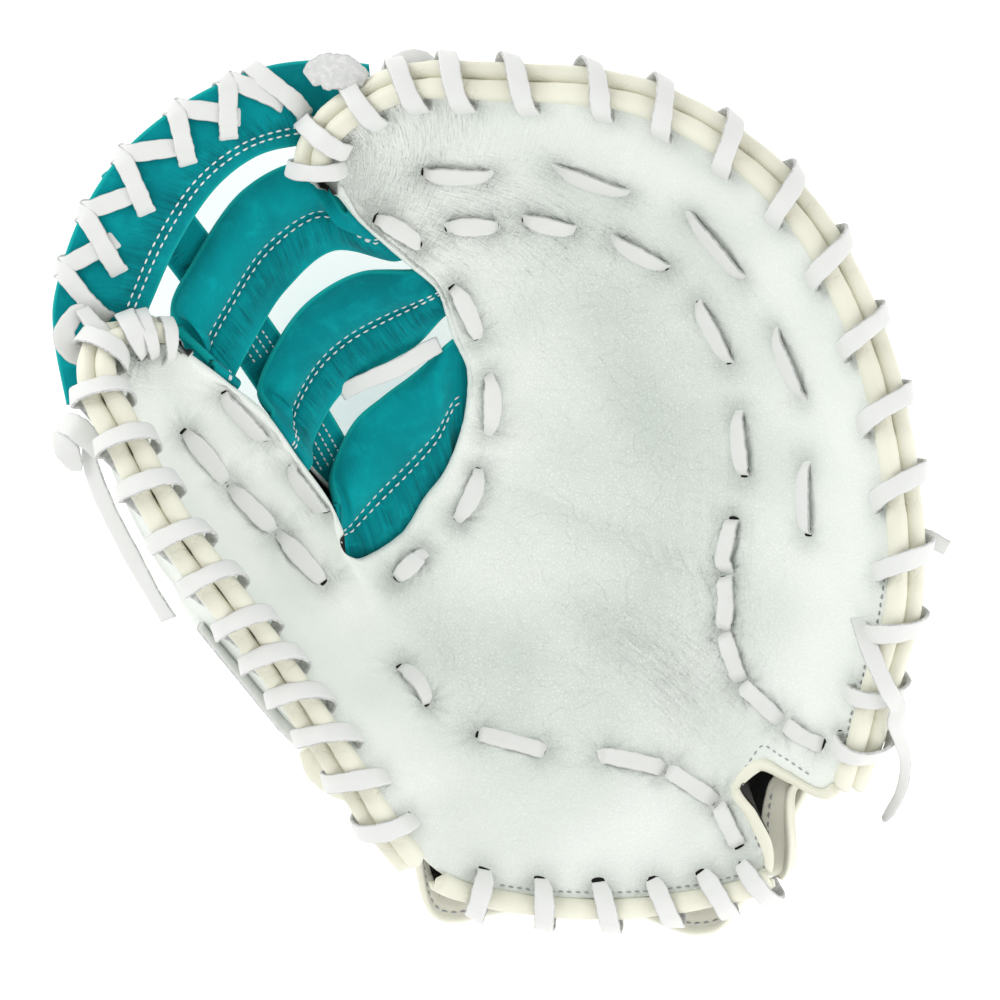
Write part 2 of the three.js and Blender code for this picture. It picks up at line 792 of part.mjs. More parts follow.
// Laces first, because the leather gets its slots from them
const laces = {
  rim_lace_thumb: rimLacePath(thumbWraps, thumbLean),
  rim_lace_finger: rimLacePath(fingerWraps, fingerLean),
  rim_lace_heel: rimLacePath(heelWraps, heelLean),
};
for (const [name, rows] of Object.entries(palmLaces)) {
  laces[name] = palmLacePath(rows);
}
for (const [name, path] of Object.entries(laces)) {
  addPiece(name, strap(path.points, path.sides), laceColour, 0.55);
}
const slotCutters = Object.values(laces).map((path) => strapRoom(path.points, path.sides, slotClearance));

// Web
const bars = Object.entries(webBars).map(([name, bar]) => [name, barEdges(bar)]);
for (const [name, edges] of bars) {
  addPiece(name, ribbon(edges, webThickness, barCrown), tealColour, 0.85);
}
const bandEdges = withOff(smoothRows(outerBand, 18));
const bandLace = bandLacePath(bandEdges);
addPiece('web_rim_lace', strap(bandLace.points, bandLace.sides), laceColour, 0.55);
const bandSlots = [strapRoom(bandLace.points, bandLace.sides, slotClearance), ...slotCutters.slice(0, 2)];
addPiece('web_outer_band', cut(ribbon(bandEdges, webThickness, 1), bandSlots), tealColour, 0.85);
const postHalf = postWidth / 2;
const postRows = smoothRows(postLine, 12).map((row) => toPoint(row));
const postEdges = postRows.map((p, i) => {
  const before = postRows[Math.max(i - 1, 0)];
  const after = postRows[Math.min(i + 1, postRows.length - 1)];
  const tangent = after.clone().sub(before).normalize();
  const side = tangent.clone().cross(new THREE.Vector3(0, 0, 1)).normalize();
  const off = side.clone().cross(tangent).normalize();
  return [p.clone().addScaledVector(side, -postHalf), p.clone().addScaledVector(side, postHalf), off];
});
addPiece('web_post', ribbon(postEdges, webThickness, 0), tealColour, 0.85);
const bandRoom = toSolid(ribbon(grown(bandEdges), webThickness + 2 * clearance, 1));
const barRooms = bars.map(([, edges]) => toSolid(ribbon(grown(edges), webThickness + 4 * clearance, barCrown)));
const postRoom = toSolid(ribbon(grown(postEdges), webThickness + 2 * clearance, 0));

// Leather shells
const shellSteps = 50;
const palmShares = spread(0, 1, 6);
const palmSolid = sheet(
  spread(firstStation, lastStation, shellSteps),
  () => palmShares,
  (s, t) => palmPoint(s, t),
  (s, t) => {
    const frame = palmFrame(s, t);
    return frame.point.addScaledVector(frame.off, -padDepth(t));
  },
);
const notchStations = spread(notchStart + 0.15, notchEnd - 0.15, 20);
const bindingRoom = toSolid(rimRoll(notchStations, bindingRadius + 2 * clearance, bindingOut, bindingRadius));
const tipStations = spread(firstStation, 3, 8);
const tipRoom = toSolid(rimRoll(tipStations, rollRadius + 3 * clearance, rollOutward, backDrop));
const palmRooms = [...slotCutters, ...barRooms, bandRoom, bindingRoom, tipRoom];
addPiece('palm_shell', cut(palmSolid, palmRooms), palmColour, 0.6);

const backShares = (station) => spread(0, along(backReach, station)[0], 6);
const backSolid = sheet(
  spread(firstStation, lastStation, shellSteps),
  backShares,
  (s, t) => backPoint(s, t, backWall),
  (s, t) => backPoint(s, t, 0),
);
const strapHalf = backWall + clearance + strapThickness / 2;
const strapEnd = ([station, share]) => {
  const p = backPoint(station, share, strapHalf);
  return [p.x / mittWidth, p.y / mittLength, p.z / mittHeight];
};
const strapRows = [
  [...strapEnd([9.6, 0.55]), ...strapEnd([10.2, 0.85])],
  [...strapEnd([10.6, 0.55]), ...strapEnd([11.0, 0.84])],
  ...strapMiddle,
  [...strapEnd([20.6, 0.50]), ...strapEnd([20.2, 0.88])],
  [...strapEnd([21.6, 0.50]), ...strapEnd([21.2, 0.88])],
];
const strapEdges = withOff(smoothRows(strapRows, 14));
addPiece('wrist_strap', ribbon(strapEdges, strapThickness, 0), creamColour, 0.5);
const wristRoom = toSolid(ribbon(grown(strapEdges), strapThickness + 4 * clearance, 0));
const furRise = strapThickness / 2 + 2 * clearance + furThickness / 2;
const furEdges = strapEdges.slice(4, -5).map(([inner, outer, off]) => {
  const across = outer.clone().sub(inner).normalize();
  return [
    inner.clone().addScaledVector(off, furRise).addScaledVector(across, furOverhang),
    outer.clone().addScaledVector(off, furRise).addScaledVector(across, furOverhang),
    off,
  ];
});
addPiece('strap_fur', ribbon(furEdges, furThickness, 0), furColour, 0.95);

const underPalm = (station, share) => {
  const frame = palmFrame(station, share);
  const depth = padDepth(share) + clearance + liningThickness / 2;
  const p = frame.point.addScaledVector(frame.off, -depth);
  return [p.x / mittWidth, p.y / mittLength, p.z / mittHeight];
};
const liningRows = [
  [...underPalm(16.0, 0.80), 0.215, -0.190, 0.29],
  [...underPalm(17.2, 0.78), 0.232, -0.155, 0.29],
  [...underPalm(18.6, 0.78), 0.250, -0.118, 0.31],
  [...underPalm(19.8, 0.78), 0.262, -0.085, 0.34],
];
addPiece('hand_lining', ribbon(withOff(smoothRows(liningRows, 6)), liningThickness, 0), blackColour, 0.9);

// Straps that lie on the outside of the back leather
const backRings = (rows, extra) => smoothRows(rows, 2 * (rows.length - 1)).map(([station, share, half, deep]) => {
  const frame = palmFrame(station, share);
  const middle = backPoint(station, share, -deep - clearance);
  const side = frame.off.clone().cross(frame.forward).normalize();
  const corner = (a, b) => middle.clone()
    .addScaledVector(side, a * (half + extra))
    .addScaledVector(frame.off, b * (deep + extra));
  return [[-1, 0.4], [-0.6, 1], [0.6, 1], [1, 0.4], [1, -0.4], [0.6, -1], [-0.6, -1], [-1, -0.4]]
    .map(([a, b]) => corner(a, b));
});
const strapRooms = Object.entries(backStraps).map(([name, rows]) => {
  addPiece(name, loft(backRings(rows, 0)), laceColour, 0.55);
  return toSolid(loft(backRings(rows, clearance)));
});
const endRooms = Object.entries(rimEnds).map(([name, rows]) => {
  const frames = smoothRows(rows, 3 * (rows.length - 1)).map((row) => {
    const [station, ahead, outward, off, down] = row;
    const frame = palmFrame(station, 1);
    frame.point.addScaledVector(frame.forward, ahead);
    frame.point.z -= down;
    frame.point.addScaledVector(frame.out, outward).addScaledVector(frame.off, off);
    return frame;
  });
  const points = frames.map((frame) => frame.point);
  const sides = points.map((point, i) => {
    const before = points[Math.max(i - 1, 0)];
    const after = points[Math.min(i + 1, points.length - 1)];
    return after.clone().sub(before).cross(frames[i].out).normalize();
  });
  addPiece(name, strap(points, sides), laceColour, 0.55);
  return strapRoom(points, sides, slotClearance);
});
const webRooms = [...barRooms, bandRoom, postRoom];
const backRooms = [...slotCutters, ...webRooms, wristRoom, ...strapRooms, ...endRooms];
addPiece('back_shell', cut(backSolid, backRooms), palmColour, 0.6);

// Rolls and bindings of the rim
for (const [name, from, to] of [['thumb', firstStation, heelStart], ['finger', fingerStart, lastStation]]) {
  const stations = spread(from, to, Math.round((to - from) * 1.8));
  addPiece(`${name}_roll_front`, rimRoll(stations, rollRadius, rollOutward, frontDrop), creamColour, 0.4);
  addPiece(`${name}_roll_back`, rimRoll(stations, rollRadius, rollOutward, backDrop), creamColour, 0.4);
}

const heelStations = spread(heelStart + 0.3, notchStart, 12);
addPiece('heel_roll', rimRoll(heelStations, rollRadius, rollOutward, frontDrop), creamColour, 0.4);
const bindingDrop = frontDrop + rollRadius + bindingRadius + clearance;
addPiece('heel_binding', rimRoll(heelStations, bindingRadius, rollOutward, bindingDrop), creamColour, 0.4);
addPiece('notch_binding', rimRoll(notchStations, bindingRadius, bindingOut, bindingRadius), creamColour, 0.4);

group.position.set(-restAcross * mittWidth, -restUp * mittLength, 0);

export default group;
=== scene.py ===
import bpy
import numpy as np
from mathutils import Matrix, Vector


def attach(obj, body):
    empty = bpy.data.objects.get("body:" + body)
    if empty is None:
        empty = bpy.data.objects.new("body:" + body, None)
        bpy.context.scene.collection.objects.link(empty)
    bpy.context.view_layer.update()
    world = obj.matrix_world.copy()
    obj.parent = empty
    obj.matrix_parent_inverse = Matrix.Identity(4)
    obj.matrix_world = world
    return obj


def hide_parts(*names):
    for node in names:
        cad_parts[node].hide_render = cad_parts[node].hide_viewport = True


# First baseman mitt lying on its back, palm up: its leather, lacing, rolls and barred web.
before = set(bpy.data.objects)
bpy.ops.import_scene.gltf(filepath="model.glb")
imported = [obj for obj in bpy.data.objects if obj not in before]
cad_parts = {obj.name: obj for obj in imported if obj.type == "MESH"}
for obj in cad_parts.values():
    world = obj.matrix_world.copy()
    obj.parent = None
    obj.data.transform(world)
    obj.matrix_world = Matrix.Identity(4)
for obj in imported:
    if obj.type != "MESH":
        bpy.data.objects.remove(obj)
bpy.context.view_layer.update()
print("frame loaded")

# Sizes in metres, the same as those the solids were made from
mitt = {
    "width": 0.301,
    "length": 0.298,
    "height": 0.104,
    "restAcross": 0.12,  # where the rest patch lies, as shares of width and length
    "restUp": 0.10,
    "palmPad": 0.008,
    "edgePad": 0.004,
    "backWall": 0.0025,
    "edgeDepth": 0.012,
    "handDepth": 0.045,
    "roll": 0.0034,
    "binding": 0.0017,
    "laceWidth": 0.0058,
    "laceThickness": 0.0017,
    "web": 0.0032,
    "webTuck": 0.007,
    "strap": 0.003,
    "gap": 0.00035,
    "laceSlack": 0.0016,
}
span = np.array([mitt["width"], mitt["length"], mitt["height"]])
restShift = np.array([mitt["restAcross"] * mitt["width"], mitt["restUp"] * mitt["length"], 0.0])

# Rows of the three palm curves: station along the horseshoe, then shares of width, length and height
innerEdge = np.array([
    [0, -0.456, 0.381, 0.83],
    [2, -0.445, 0.368, 0.81],
    [4, -0.409, 0.340, 0.75],
    [5, -0.370, 0.308, 0.67],
    [6, -0.335, 0.258, 0.58],
    [7, -0.302, 0.211, 0.50],
    [8, -0.284, 0.166, 0.44],
    [10, -0.264, 0.148, 0.39],
    [12, -0.248, 0.149, 0.37],
    [15, -0.210, 0.176, 0.35],
    [19, -0.183, 0.217, 0.35],
    [22, -0.161, 0.244, 0.37],
    [24, -0.147, 0.274, 0.39],
    [26, -0.134, 0.325, 0.44],
    [27.5, -0.133, 0.367, 0.49],
    [29, -0.149, 0.405, 0.53],
    [31, -0.166, 0.456, 0.59],
    [33, -0.201, 0.490, 0.65],
    [35, -0.251, 0.534, 0.73],
    [37, -0.275, 0.566, 0.77],
    [38, -0.280, 0.572, 0.78],
])
palmCrease = np.array([
    [0, -0.463, 0.388, 0.84],
    [1, -0.485, 0.371, 0.83],
    [3, -0.480, 0.325, 0.72],
    [5, -0.423, 0.251, 0.56],
    [7, -0.339, 0.148, 0.41],
    [9, -0.226, 0.034, 0.37],
    [11, -0.156, -0.046, 0.37],
    [13, -0.056, -0.071, 0.37],
    [15, 0.080, -0.078, 0.38],
    [16.5, 0.122, -0.054, 0.39],
    [18, 0.148, -0.022, 0.40],
    [19.5, 0.172, 0.016, 0.41],
    [21, 0.190, 0.060, 0.42],
    [23, 0.186, 0.125, 0.41],
    [25, 0.172, 0.205, 0.40],
    [27, 0.149, 0.365, 0.44],
    [29, 0.079, 0.481, 0.50],
    [31, -0.034, 0.534, 0.55],
    [33, -0.152, 0.567, 0.63],
    [35, -0.237, 0.588, 0.73],
    [37, -0.280, 0.591, 0.78],
    [38, -0.284, 0.579, 0.79],
])
palmRim = np.array([
    [0, -0.472, 0.392, 0.85],
    [1, -0.508, 0.393, 0.88],
    [2, -0.529, 0.381, 0.91],
    [3, -0.529, 0.345, 0.92],
    [4, -0.511, 0.308, 0.92],
    [6, -0.451, 0.196, 0.89],
    [8, -0.350, 0.059, 0.81],
    [10, -0.252, -0.087, 0.70],
    [11, -0.203, -0.163, 0.63],
    [12, -0.144, -0.216, 0.57],
    [13.5, 0.011, -0.238, 0.52],
    [15, 0.149, -0.221, 0.54],
    [16, 0.195, -0.198, 0.56],
    [17, 0.178, -0.139, 0.52],
    [17.6, 0.167, -0.108, 0.49],
    [18.4, 0.194, -0.078, 0.49],
    [19.2, 0.222, -0.091, 0.53],
    [20, 0.264, -0.111, 0.58],
    [21, 0.286, -0.066, 0.64],
    [22, 0.302, -0.002, 0.71],
    [23.5, 0.330, 0.103, 0.81],
    [25, 0.327, 0.228, 0.86],
    [27, 0.288, 0.399, 0.89],
    [29, 0.201, 0.550, 0.92],
    [31, 0.056, 0.648, 0.94],
    [33, -0.126, 0.668, 0.93],
    [34, -0.201, 0.667, 0.91],
    [35, -0.251, 0.645, 0.88],
    [36, -0.278, 0.624, 0.86],
    [37, -0.289, 0.604, 0.83],
    [38, -0.289, 0.586, 0.81],
])
firstStation = 0.0
lastStation = 38.0
heelStart = 11.4
notchStart = 15.9
notchEnd = 20.2
fingerStart = 20.4
# Depth of the hand space: station, share of handDepth
handRoom = np.array([
    [0, 0.30], [4, 0.50], [8, 0.85], [12, 1.00], [24, 1.00], [28, 0.85], [32, 0.62], [36, 0.35], [38, 0.28],
])
# How far the back leather reaches across: station, share
backReach = np.array([
    [0, 0.97], [10.2, 0.97], [11.2, 0.90], [12.6, 0.34], [14, 0.30],
    [18, 0.30], [19.6, 0.36], [20.6, 0.90], [21.2, 0.97], [38, 0.97],
])
# Running laces on the palm: start and end of each stretch, as shares of width and length
palmLaces = {
    "lace_finger_row": [
        [-0.186, 0.587, -0.114, 0.585],
        [-0.037, 0.593, 0.040, 0.566],
        [0.112, 0.536, 0.169, 0.470],
        [0.208, 0.407, 0.236, 0.334],
        [0.243, 0.257, 0.245, 0.178],
    ],
    "lace_crease_top": [
        [-0.239, 0.536, -0.192, 0.506],
        [-0.160, 0.528, -0.105, 0.528],
        [-0.073, 0.536, -0.018, 0.525],
        [0.027, 0.513, 0.086, 0.482],
        [0.123, 0.441, 0.158, 0.375],
        [0.168, 0.315, 0.174, 0.245],
    ],
    "lace_crease_chain": [
        [0.161, 0.194, 0.155, 0.137],
        [0.154, 0.127, 0.151, 0.071],
        [0.153, 0.061, 0.169, 0.013],
        [0.174, 0.003, 0.213, -0.034],
        [0.223, -0.041, 0.262, -0.062],
    ],
    "lace_web_edge": [
        [-0.158, 0.456, -0.126, 0.403],
        [-0.113, 0.356, -0.113, 0.295],
        [-0.125, 0.250, -0.149, 0.195],
        [-0.191, 0.155, -0.219, 0.127],
    ],
    "lace_heel_chain": [
        [-0.126, -0.052, -0.053, -0.071],
        [0.016, -0.076, 0.081, -0.090],
        [0.090, -0.094, 0.140, -0.126],
        [0.147, -0.134, 0.168, -0.178],
    ],
    "lace_thumb_row": [
        [-0.456, 0.294, -0.411, 0.237],
        [-0.405, 0.230, -0.358, 0.182],
        [-0.350, 0.176, -0.303, 0.122],
    ],
    "lace_thumb_web": [
        [-0.410, 0.337, -0.367, 0.283],
        [-0.336, 0.255, -0.301, 0.203],
    ],
    "lace_thumb_crease": [
        [-0.214, 0.026, -0.185, -0.017],
    ],
}
# Stations of the holes of the laces that wrap the rim, and how far each wrap leans
rimWraps = {
    "rim_lace_thumb": {
        "holes": [1.0, 2.2, 3.4, 4.6, 5.5, 6.4, 7.1, 7.8, 8.4, 9.0, 9.6, 10.25, 10.9],
        "lean": -0.35,
    },
    "rim_lace_finger": {
        "holes": [
            21.0, 21.9, 22.9, 23.85, 24.8, 25.8, 26.8, 27.8, 28.75,
            29.7, 30.6, 31.4, 32.3, 33.1, 33.8, 34.7, 36.2,
        ],
        "lean": 0.42,
    },
    "rim_lace_heel": {
        "holes": [12.2, 12.85, 13.5, 14.15, 14.8, 15.5],
        "lean": 0.18,
    },
}
# Wraps at the tips' ends, beside the solids' own
tipWraps = {
    "thumb_tip_wraps": {"holes": [0.0, 0.55], "lean": -0.1, "width": 0.0047},
    "finger_tip_wraps": {"holes": [37.65], "lean": 0.1, "width": 0.0056},
}
# Web bars: stations of the corners on both edges, then rows across: outer and inner corner as shares
webBars = {
    "web_bar_upper": {
        "thumb": [3.3, 4.3],
        "finger": [35.6, 33.2],
        "rows": [
            [-0.469, 0.425, 0.68, -0.410, 0.345, 0.63],
            [-0.445, 0.485, 0.68, -0.380, 0.405, 0.61],
            [-0.390, 0.565, 0.68, -0.345, 0.460, 0.59],
            [-0.318, 0.597, 0.66, -0.290, 0.505, 0.58],
        ],
    },
    "web_bar_middle": {
        "thumb": [5.2, 6.3],
        "finger": [32.2, 29.8],
        "rows": [
            [-0.372, 0.345, 0.55, -0.317, 0.285, 0.46],
            [-0.345, 0.405, 0.54, -0.290, 0.335, 0.45],
            [-0.310, 0.446, 0.53, -0.250, 0.368, 0.45],
            [-0.258, 0.474, 0.53, -0.200, 0.396, 0.46],
        ],
    },
    "web_bar_lower": {
        "thumb": [7.2, 9.2],
        "finger": [28.6, 24.0],
        "rows": [
            [-0.292, 0.245, 0.40, -0.258, 0.142, 0.31],
            [-0.268, 0.300, 0.40, -0.218, 0.163, 0.29],
            [-0.233, 0.332, 0.41, -0.184, 0.200, 0.28],
            [-0.196, 0.360, 0.43, -0.158, 0.240, 0.30],
        ],
    },
}
outerBand = [
    [-0.585, 0.325, 0.70, -0.515, 0.325, 0.70],
    [-0.598, 0.395, 0.72, -0.525, 0.385, 0.71],
    [-0.597, 0.450, 0.77, -0.502, 0.430, 0.75],
    [-0.568, 0.535, 0.83, -0.468, 0.505, 0.79],
    [-0.518, 0.610, 0.85, -0.425, 0.570, 0.81],
    [-0.448, 0.666, 0.85, -0.378, 0.608, 0.80],
    [-0.368, 0.702, 0.81, -0.330, 0.622, 0.76],
    [-0.300, 0.712, 0.74, -0.285, 0.625, 0.70],
    [-0.250, 0.708, 0.69, -0.252, 0.640, 0.68],
]
postLine = [
    [-0.525, 0.600, 0.795],
    [-0.470, 0.525, 0.685],
    [-0.412, 0.445, 0.585],
    [-0.339, 0.336, 0.44],
    [-0.277, 0.228, 0.300],
    [-0.262, 0.200, 0.272],
]
# Lace ends outside the rim, in millimetres of the frame, with the width at each point
looseEnds = {
    "corner_lace": {
        "spots": [
            [54.2, -5.5, 74, 4.6], [56.3, -11.1, 83, 6.2], [59.5, -19.6, 88, 6.2], [63.8, -29.0, 88, 6.2],
            [67.3, -35.2, 83, 6.0], [66.8, -41.0, 76, 5.2], [68.6, -46.5, 70, 4.2], [70.8, -52.6, 64, 3.8],
            [71.0, -59.7, 57, 3.7], [69.2, -66.6, 50, 3.6], [66.2, -72.4, 44, 3.4], [64.6, -74.4, 42, 2.6],
        ],
        "face": (0.25, 0.1, 1.0),
        "turn": 0.9,
    },
    "side_tail": {
        "spots": [
            [-203.5, 55.0, 84, 6.4], [-205.0, 48.5, 83, 6.8], [-200.6, 35.0, 80, 6.8],
            [-193.0, 19.5, 76, 6.8], [-185.0, 4.5, 72, 6.6], [-179.0, -5.5, 69, 6.4],
        ],
        "face": (-0.55, -0.2, 1.0),
        "turn": 0.0,
    },
    "side_knot": {
        "spots": [
            [-201.5, 50.5, 85, 5.5], [-204.5, 54.5, 88.5, 7.6], [-208.5, 58.5, 90, 8.6],
            [-212.0, 60.3, 88, 8.0], [-215.2, 59.6, 84, 5.0],
        ],
        "face": (-0.3, 0.1, 1.0),
        "turn": 0.2,
    },
    "tip_end_thumb": {
        "spots": [
            [-206.5, 83.0, 84, 7.4], [-211.5, 85.5, 86, 7.8], [-213.5, 91.0, 88, 7.4],
            [-210.0, 97.0, 88, 6.2], [-206.5, 99.5, 87, 4.6],
        ],
        "face": (-0.2, 0.0, 1.0),
        "turn": 0.5,
    },
    "tip_end_finger": {
        "spots": [
            [-90.0, 181.0, 84, 6.0], [-93.5, 183.6, 85, 6.2], [-98.5, 183.2, 86, 6.2],
            [-103.0, 180.8, 86, 6.0], [-104.6, 177.6, 85, 5.4],
        ],
        "face": (0.0, 0.2, 1.0),
        "turn": 0.0,
    },
    "side_end_finger": {
        "spots": [
            [72.0, 24.0, 76, 5.4], [76.5, 22.6, 78, 5.6], [80.5, 20.6, 79, 5.6], [84.4, 18.6, 79, 5.4],
        ],
        "face": (0.1, 0.0, 1.0),
        "turn": 0.3,
    },
}
# Pieces of lace beside the solids' own, in the same way
extraEnds = {
    "finger_tip_tab": {
        "spots": [
            [-131.0, 176.5, 91, 6.0], [-128.0, 178.5, 92.5, 10.5], [-124.0, 178.8, 94, 12.5],
            [-119.5, 178.6, 94.5, 12.0], [-115.0, 177.6, 94, 8.5], [-112.0, 176.0, 93, 5.0],
        ],
        "face": (0.0, 0.1, 1.0),
        "turn": 0.0,
        "suede": 0.35,
    },
    "knot_fold": {
        "spots": [
            [-216.0, 58.0, 84, 4.0], [-214.2, 54.5, 86, 7.6], [-212.0, 50.5, 86.5, 8.2],
            [-210.5, 47.2, 85, 6.6], [-209.5, 45.0, 83, 4.0],
        ],
        "face": (-0.3, 0.1, 1.0),
        "turn": 0.0,
    },
    "thumb_tip_fold": {
        "spots": [
            [-207.5, 99.0, 88, 5.0], [-203.5, 94.0, 91, 6.4], [-199.5, 89.5, 92, 6.4], [-197.5, 84.5, 90, 5.6],
        ],
        "face": (0.5, 0.3, 1.0),
        "turn": 0.2,
    },
    "web_end": {
        "spots": [
            [-121.0, 71.5, 47, 5.6], [-112.5, 75.5, 50, 6.0], [-101.5, 80.0, 52, 6.2],
            [-93.5, 84.8, 51, 6.2], [-87.5, 88.0, 49, 6.0],
        ],
        "face": (0.0, -0.1, 1.0),
        "turn": 0.0,
    },
}
# Straps on the back leather: station, share across, half width and half depth in millimetres
backStraps = {
    "thumb_strap": [
        [7.1, 0.89, 5.0, 1.4], [7.5, 0.885, 5.0, 1.4], [7.9, 0.88, 5.0, 1.4],
        [8.6, 0.87, 5.0, 1.4], [9.0, 0.86, 5.0, 1.4],
    ],
    "pull_roll": [[9.2, 0.84, 3.4, 2.6], [9.6, 0.84, 5.4, 4.6], [10.1, 0.84, 5.0, 4.2], [10.6, 0.83, 3.0, 2.4]],
    "pull_lace": [
        [10.72, 0.84, 2.6, 0.9], [10.95, 0.87, 2.6, 0.9], [11.20, 0.89, 2.6, 0.9], [11.45, 0.92, 2.6, 0.9],
    ],
}
strapMiddle = [
    [-0.165, -0.130, 0.07, -0.178, -0.262, 0.13],
    [-0.080, -0.125, 0.05, -0.090, -0.258, 0.11],
    [0.020, -0.125, 0.05, 0.020, -0.250, 0.10],
    [0.110, -0.125, 0.06, 0.125, -0.284, 0.12],
    [0.175, -0.120, 0.10, 0.180, -0.240, 0.17],
]


def place(shares):
    # shares of width, length and height to metres in the frame
    return np.asarray(shares, float) * span - restShift


def placePairs(rows):
    # rows of two places side by side, as shares
    rows = np.array(rows)
    return np.hstack([place(rows[:, :3]), place(rows[:, 3:])])


def unit(v):
    return v / np.maximum(np.linalg.norm(v, axis=-1, keepdims=True), 1e-12)


def along(rows, stations):
    # cubic between rows, whose slope at a row is that of the chord between its neighbours
    rows = np.asarray(rows, float)
    stations = np.asarray(stations, float)
    x, y = rows[:, 0], rows[:, 1:]
    before = np.maximum(np.arange(len(x)) - 1, 0)
    after = np.minimum(np.arange(len(x)) + 1, len(x) - 1)
    slope = (y[after] - y[before]) / (x[after] - x[before])[:, None]
    i = np.clip(np.searchsorted(x, stations) - 1, 0, len(x) - 2)
    step = (x[i + 1] - x[i])[..., None]
    t = np.clip((stations[..., None] - x[i][..., None]) / step, 0, 1)
    t2, t3 = t * t, t * t * t
    base = y[i] * (2 * t3 - 3 * t2 + 1) + y[i + 1] * (3 * t2 - 2 * t3)
    return base + step * (slope[i] * (t3 - 2 * t2 + t) + slope[i + 1] * (t3 - t2))


def smoothRows(rows, steps):
    # the rows as a curve, at steps + 1 even places
    rows = np.asarray(rows, float)
    numbered = np.column_stack([np.arange(len(rows)), rows])
    return along(numbered, np.linspace(0, len(rows) - 1, steps + 1))


def bell(distance, radius):
    return np.exp(-((distance / radius) ** 2))


def roundAngles(count):
    return np.linspace(0, 2 * np.pi, count, endpoint=False)


def squarer(values, power):
    # a sine or cosine with its sign kept: powers below 1 make the round section squarer
    return np.sign(values) * np.abs(values) ** power


def runLength(line):
    # length of a line up to each of its points
    return np.concatenate([[0], np.cumsum(np.linalg.norm(np.diff(line, axis=0), axis=1))])


# Steps on the palm: where the rim is averaged, limits of the crease's share, reach of the slopes
palmSteps = {
    "calm": (-2.4, -1.2, 0, 1.2, 2.4),
    "leastBend": 0.4,
    "mostBend": 0.66,
    "station": 0.05,
    "share": 0.01,
}


def palmPoint(station, share):
    # one parabola from the web side to the crease and one from there to the rim, with one slope at the crease
    station, share = np.broadcast_arrays(np.asarray(station, float), np.asarray(share, float))
    a = place(along(innerEdge, station))
    b = place(along(palmCrease, station))
    c = place(along(palmRim, station))
    spots = [np.clip(station + d, firstStation, lastStation) for d in palmSteps["calm"]]
    calm = np.mean([place(along(palmRim, spot)) for spot in spots], axis=0)
    near = np.linalg.norm(b - a, axis=-1)
    far = np.linalg.norm(calm - b, axis=-1)
    bend = np.clip(near / (near + far), palmSteps["leastBend"], palmSteps["mostBend"])[..., None]
    slope = (b - a) * (1 - bend) / bend + (calm - b) * bend / (1 - bend)
    x = share[..., None] / bend
    start = 2 * (b - a) - slope * bend
    inner = a + start * x + (b - a - start) * x * x
    x = (share[..., None] - bend) / (1 - bend)
    outer = b + slope * (1 - bend) * x + (c - b - slope * (1 - bend)) * x * x
    return np.where(share[..., None] < bend, inner, outer)


def palmFrame(station, share):
    # the point with its directions: out across the palm, forward along the horseshoe, off the surface
    station, share = np.broadcast_arrays(np.asarray(station, float), np.asarray(share, float))
    ds, dt = palmSteps["station"], palmSteps["share"]
    out = palmPoint(station, np.minimum(share + dt, 1)) - palmPoint(station, np.maximum(share - dt, 0))
    ahead = palmPoint(np.minimum(station + ds, lastStation), share)
    forward = unit(ahead - palmPoint(np.maximum(station - ds, firstStation), share))
    out = unit(out)
    return palmPoint(station, share), out, forward, unit(np.cross(out, forward))


def padDepth(share):
    return mitt["edgePad"] + (mitt["palmPad"] - mitt["edgePad"]) * np.sin(np.pi * share)


def backPoint(station, share, inside):
    # the back leather at a height inside its outer face, flattened where the mitt rests
    point, _, _, off = palmFrame(station, share)
    room = along(handRoom, station)[..., 0]
    depth = mitt["edgeDepth"] + (mitt["handDepth"] * room - mitt["edgeDepth"]) * np.sin(np.pi * share)
    point = point + off * (inside - depth)[..., None]
    point[..., 2] = np.maximum(point[..., 2], inside)
    return point


# The coarse grid and the Newton steps that look for a place on the palm
seek = {
    "stations": 115,
    "shares": 17,
    "rounds": 8,
    "station": 0.02,  # how far off the slopes are measured
    "share": 0.005,
    "stationStep": 0.2,  # longest step
    "shareStep": 0.04,
    "stationGap": 0.1,  # nearest to the ends and the edges
    "shareGap": 0.03,
}


def onPalm(x, y):
    # where places seen from above lie on the palm: nearest of a coarse grid, then Newton steps
    stations = np.linspace(firstStation, lastStation, seek["stations"])
    s, t = np.meshgrid(stations, np.linspace(0, 1, seek["shares"]), indexing="ij")
    spots = palmPoint(s, t).reshape(-1, 3)
    near = np.argmin((spots[:, 0] - x[:, None]) ** 2 + (spots[:, 1] - y[:, None]) ** 2, axis=1)
    s, t = s.ravel()[near], t.ravel()[near]
    for _ in range(seek["rounds"]):
        p = palmPoint(s, t)
        ps = (palmPoint(s + seek["station"], t) - p) / seek["station"]
        pt = (palmPoint(s, t + seek["share"]) - p) / seek["share"]
        det = ps[:, 0] * pt[:, 1] - ps[:, 1] * pt[:, 0]
        dx, dy = x - p[:, 0], y - p[:, 1]
        s = s + np.clip((dx * pt[:, 1] - dy * pt[:, 0]) / det, -seek["stationStep"], seek["stationStep"])
        t = t + np.clip((ps[:, 0] * dy - ps[:, 1] * dx) / det, -seek["shareStep"], seek["shareStep"])
        s = np.clip(s, firstStation + seek["stationGap"], lastStation - seek["stationGap"])
        t = np.clip(t, seek["shareGap"], 1 - seek["shareGap"])
    return s, t


# Meshes


def gridFaces(rows, cols):
    # quads of a grid of points whose last column joins its first
    i, j = np.meshgrid(np.arange(rows - 1), np.arange(cols), indexing="ij")
    k = (j + 1) % cols
    return np.stack([i * cols + j, i * cols + k, (i + 1) * cols + k, (i + 1) * cols + j], -1).reshape(-1, 4)


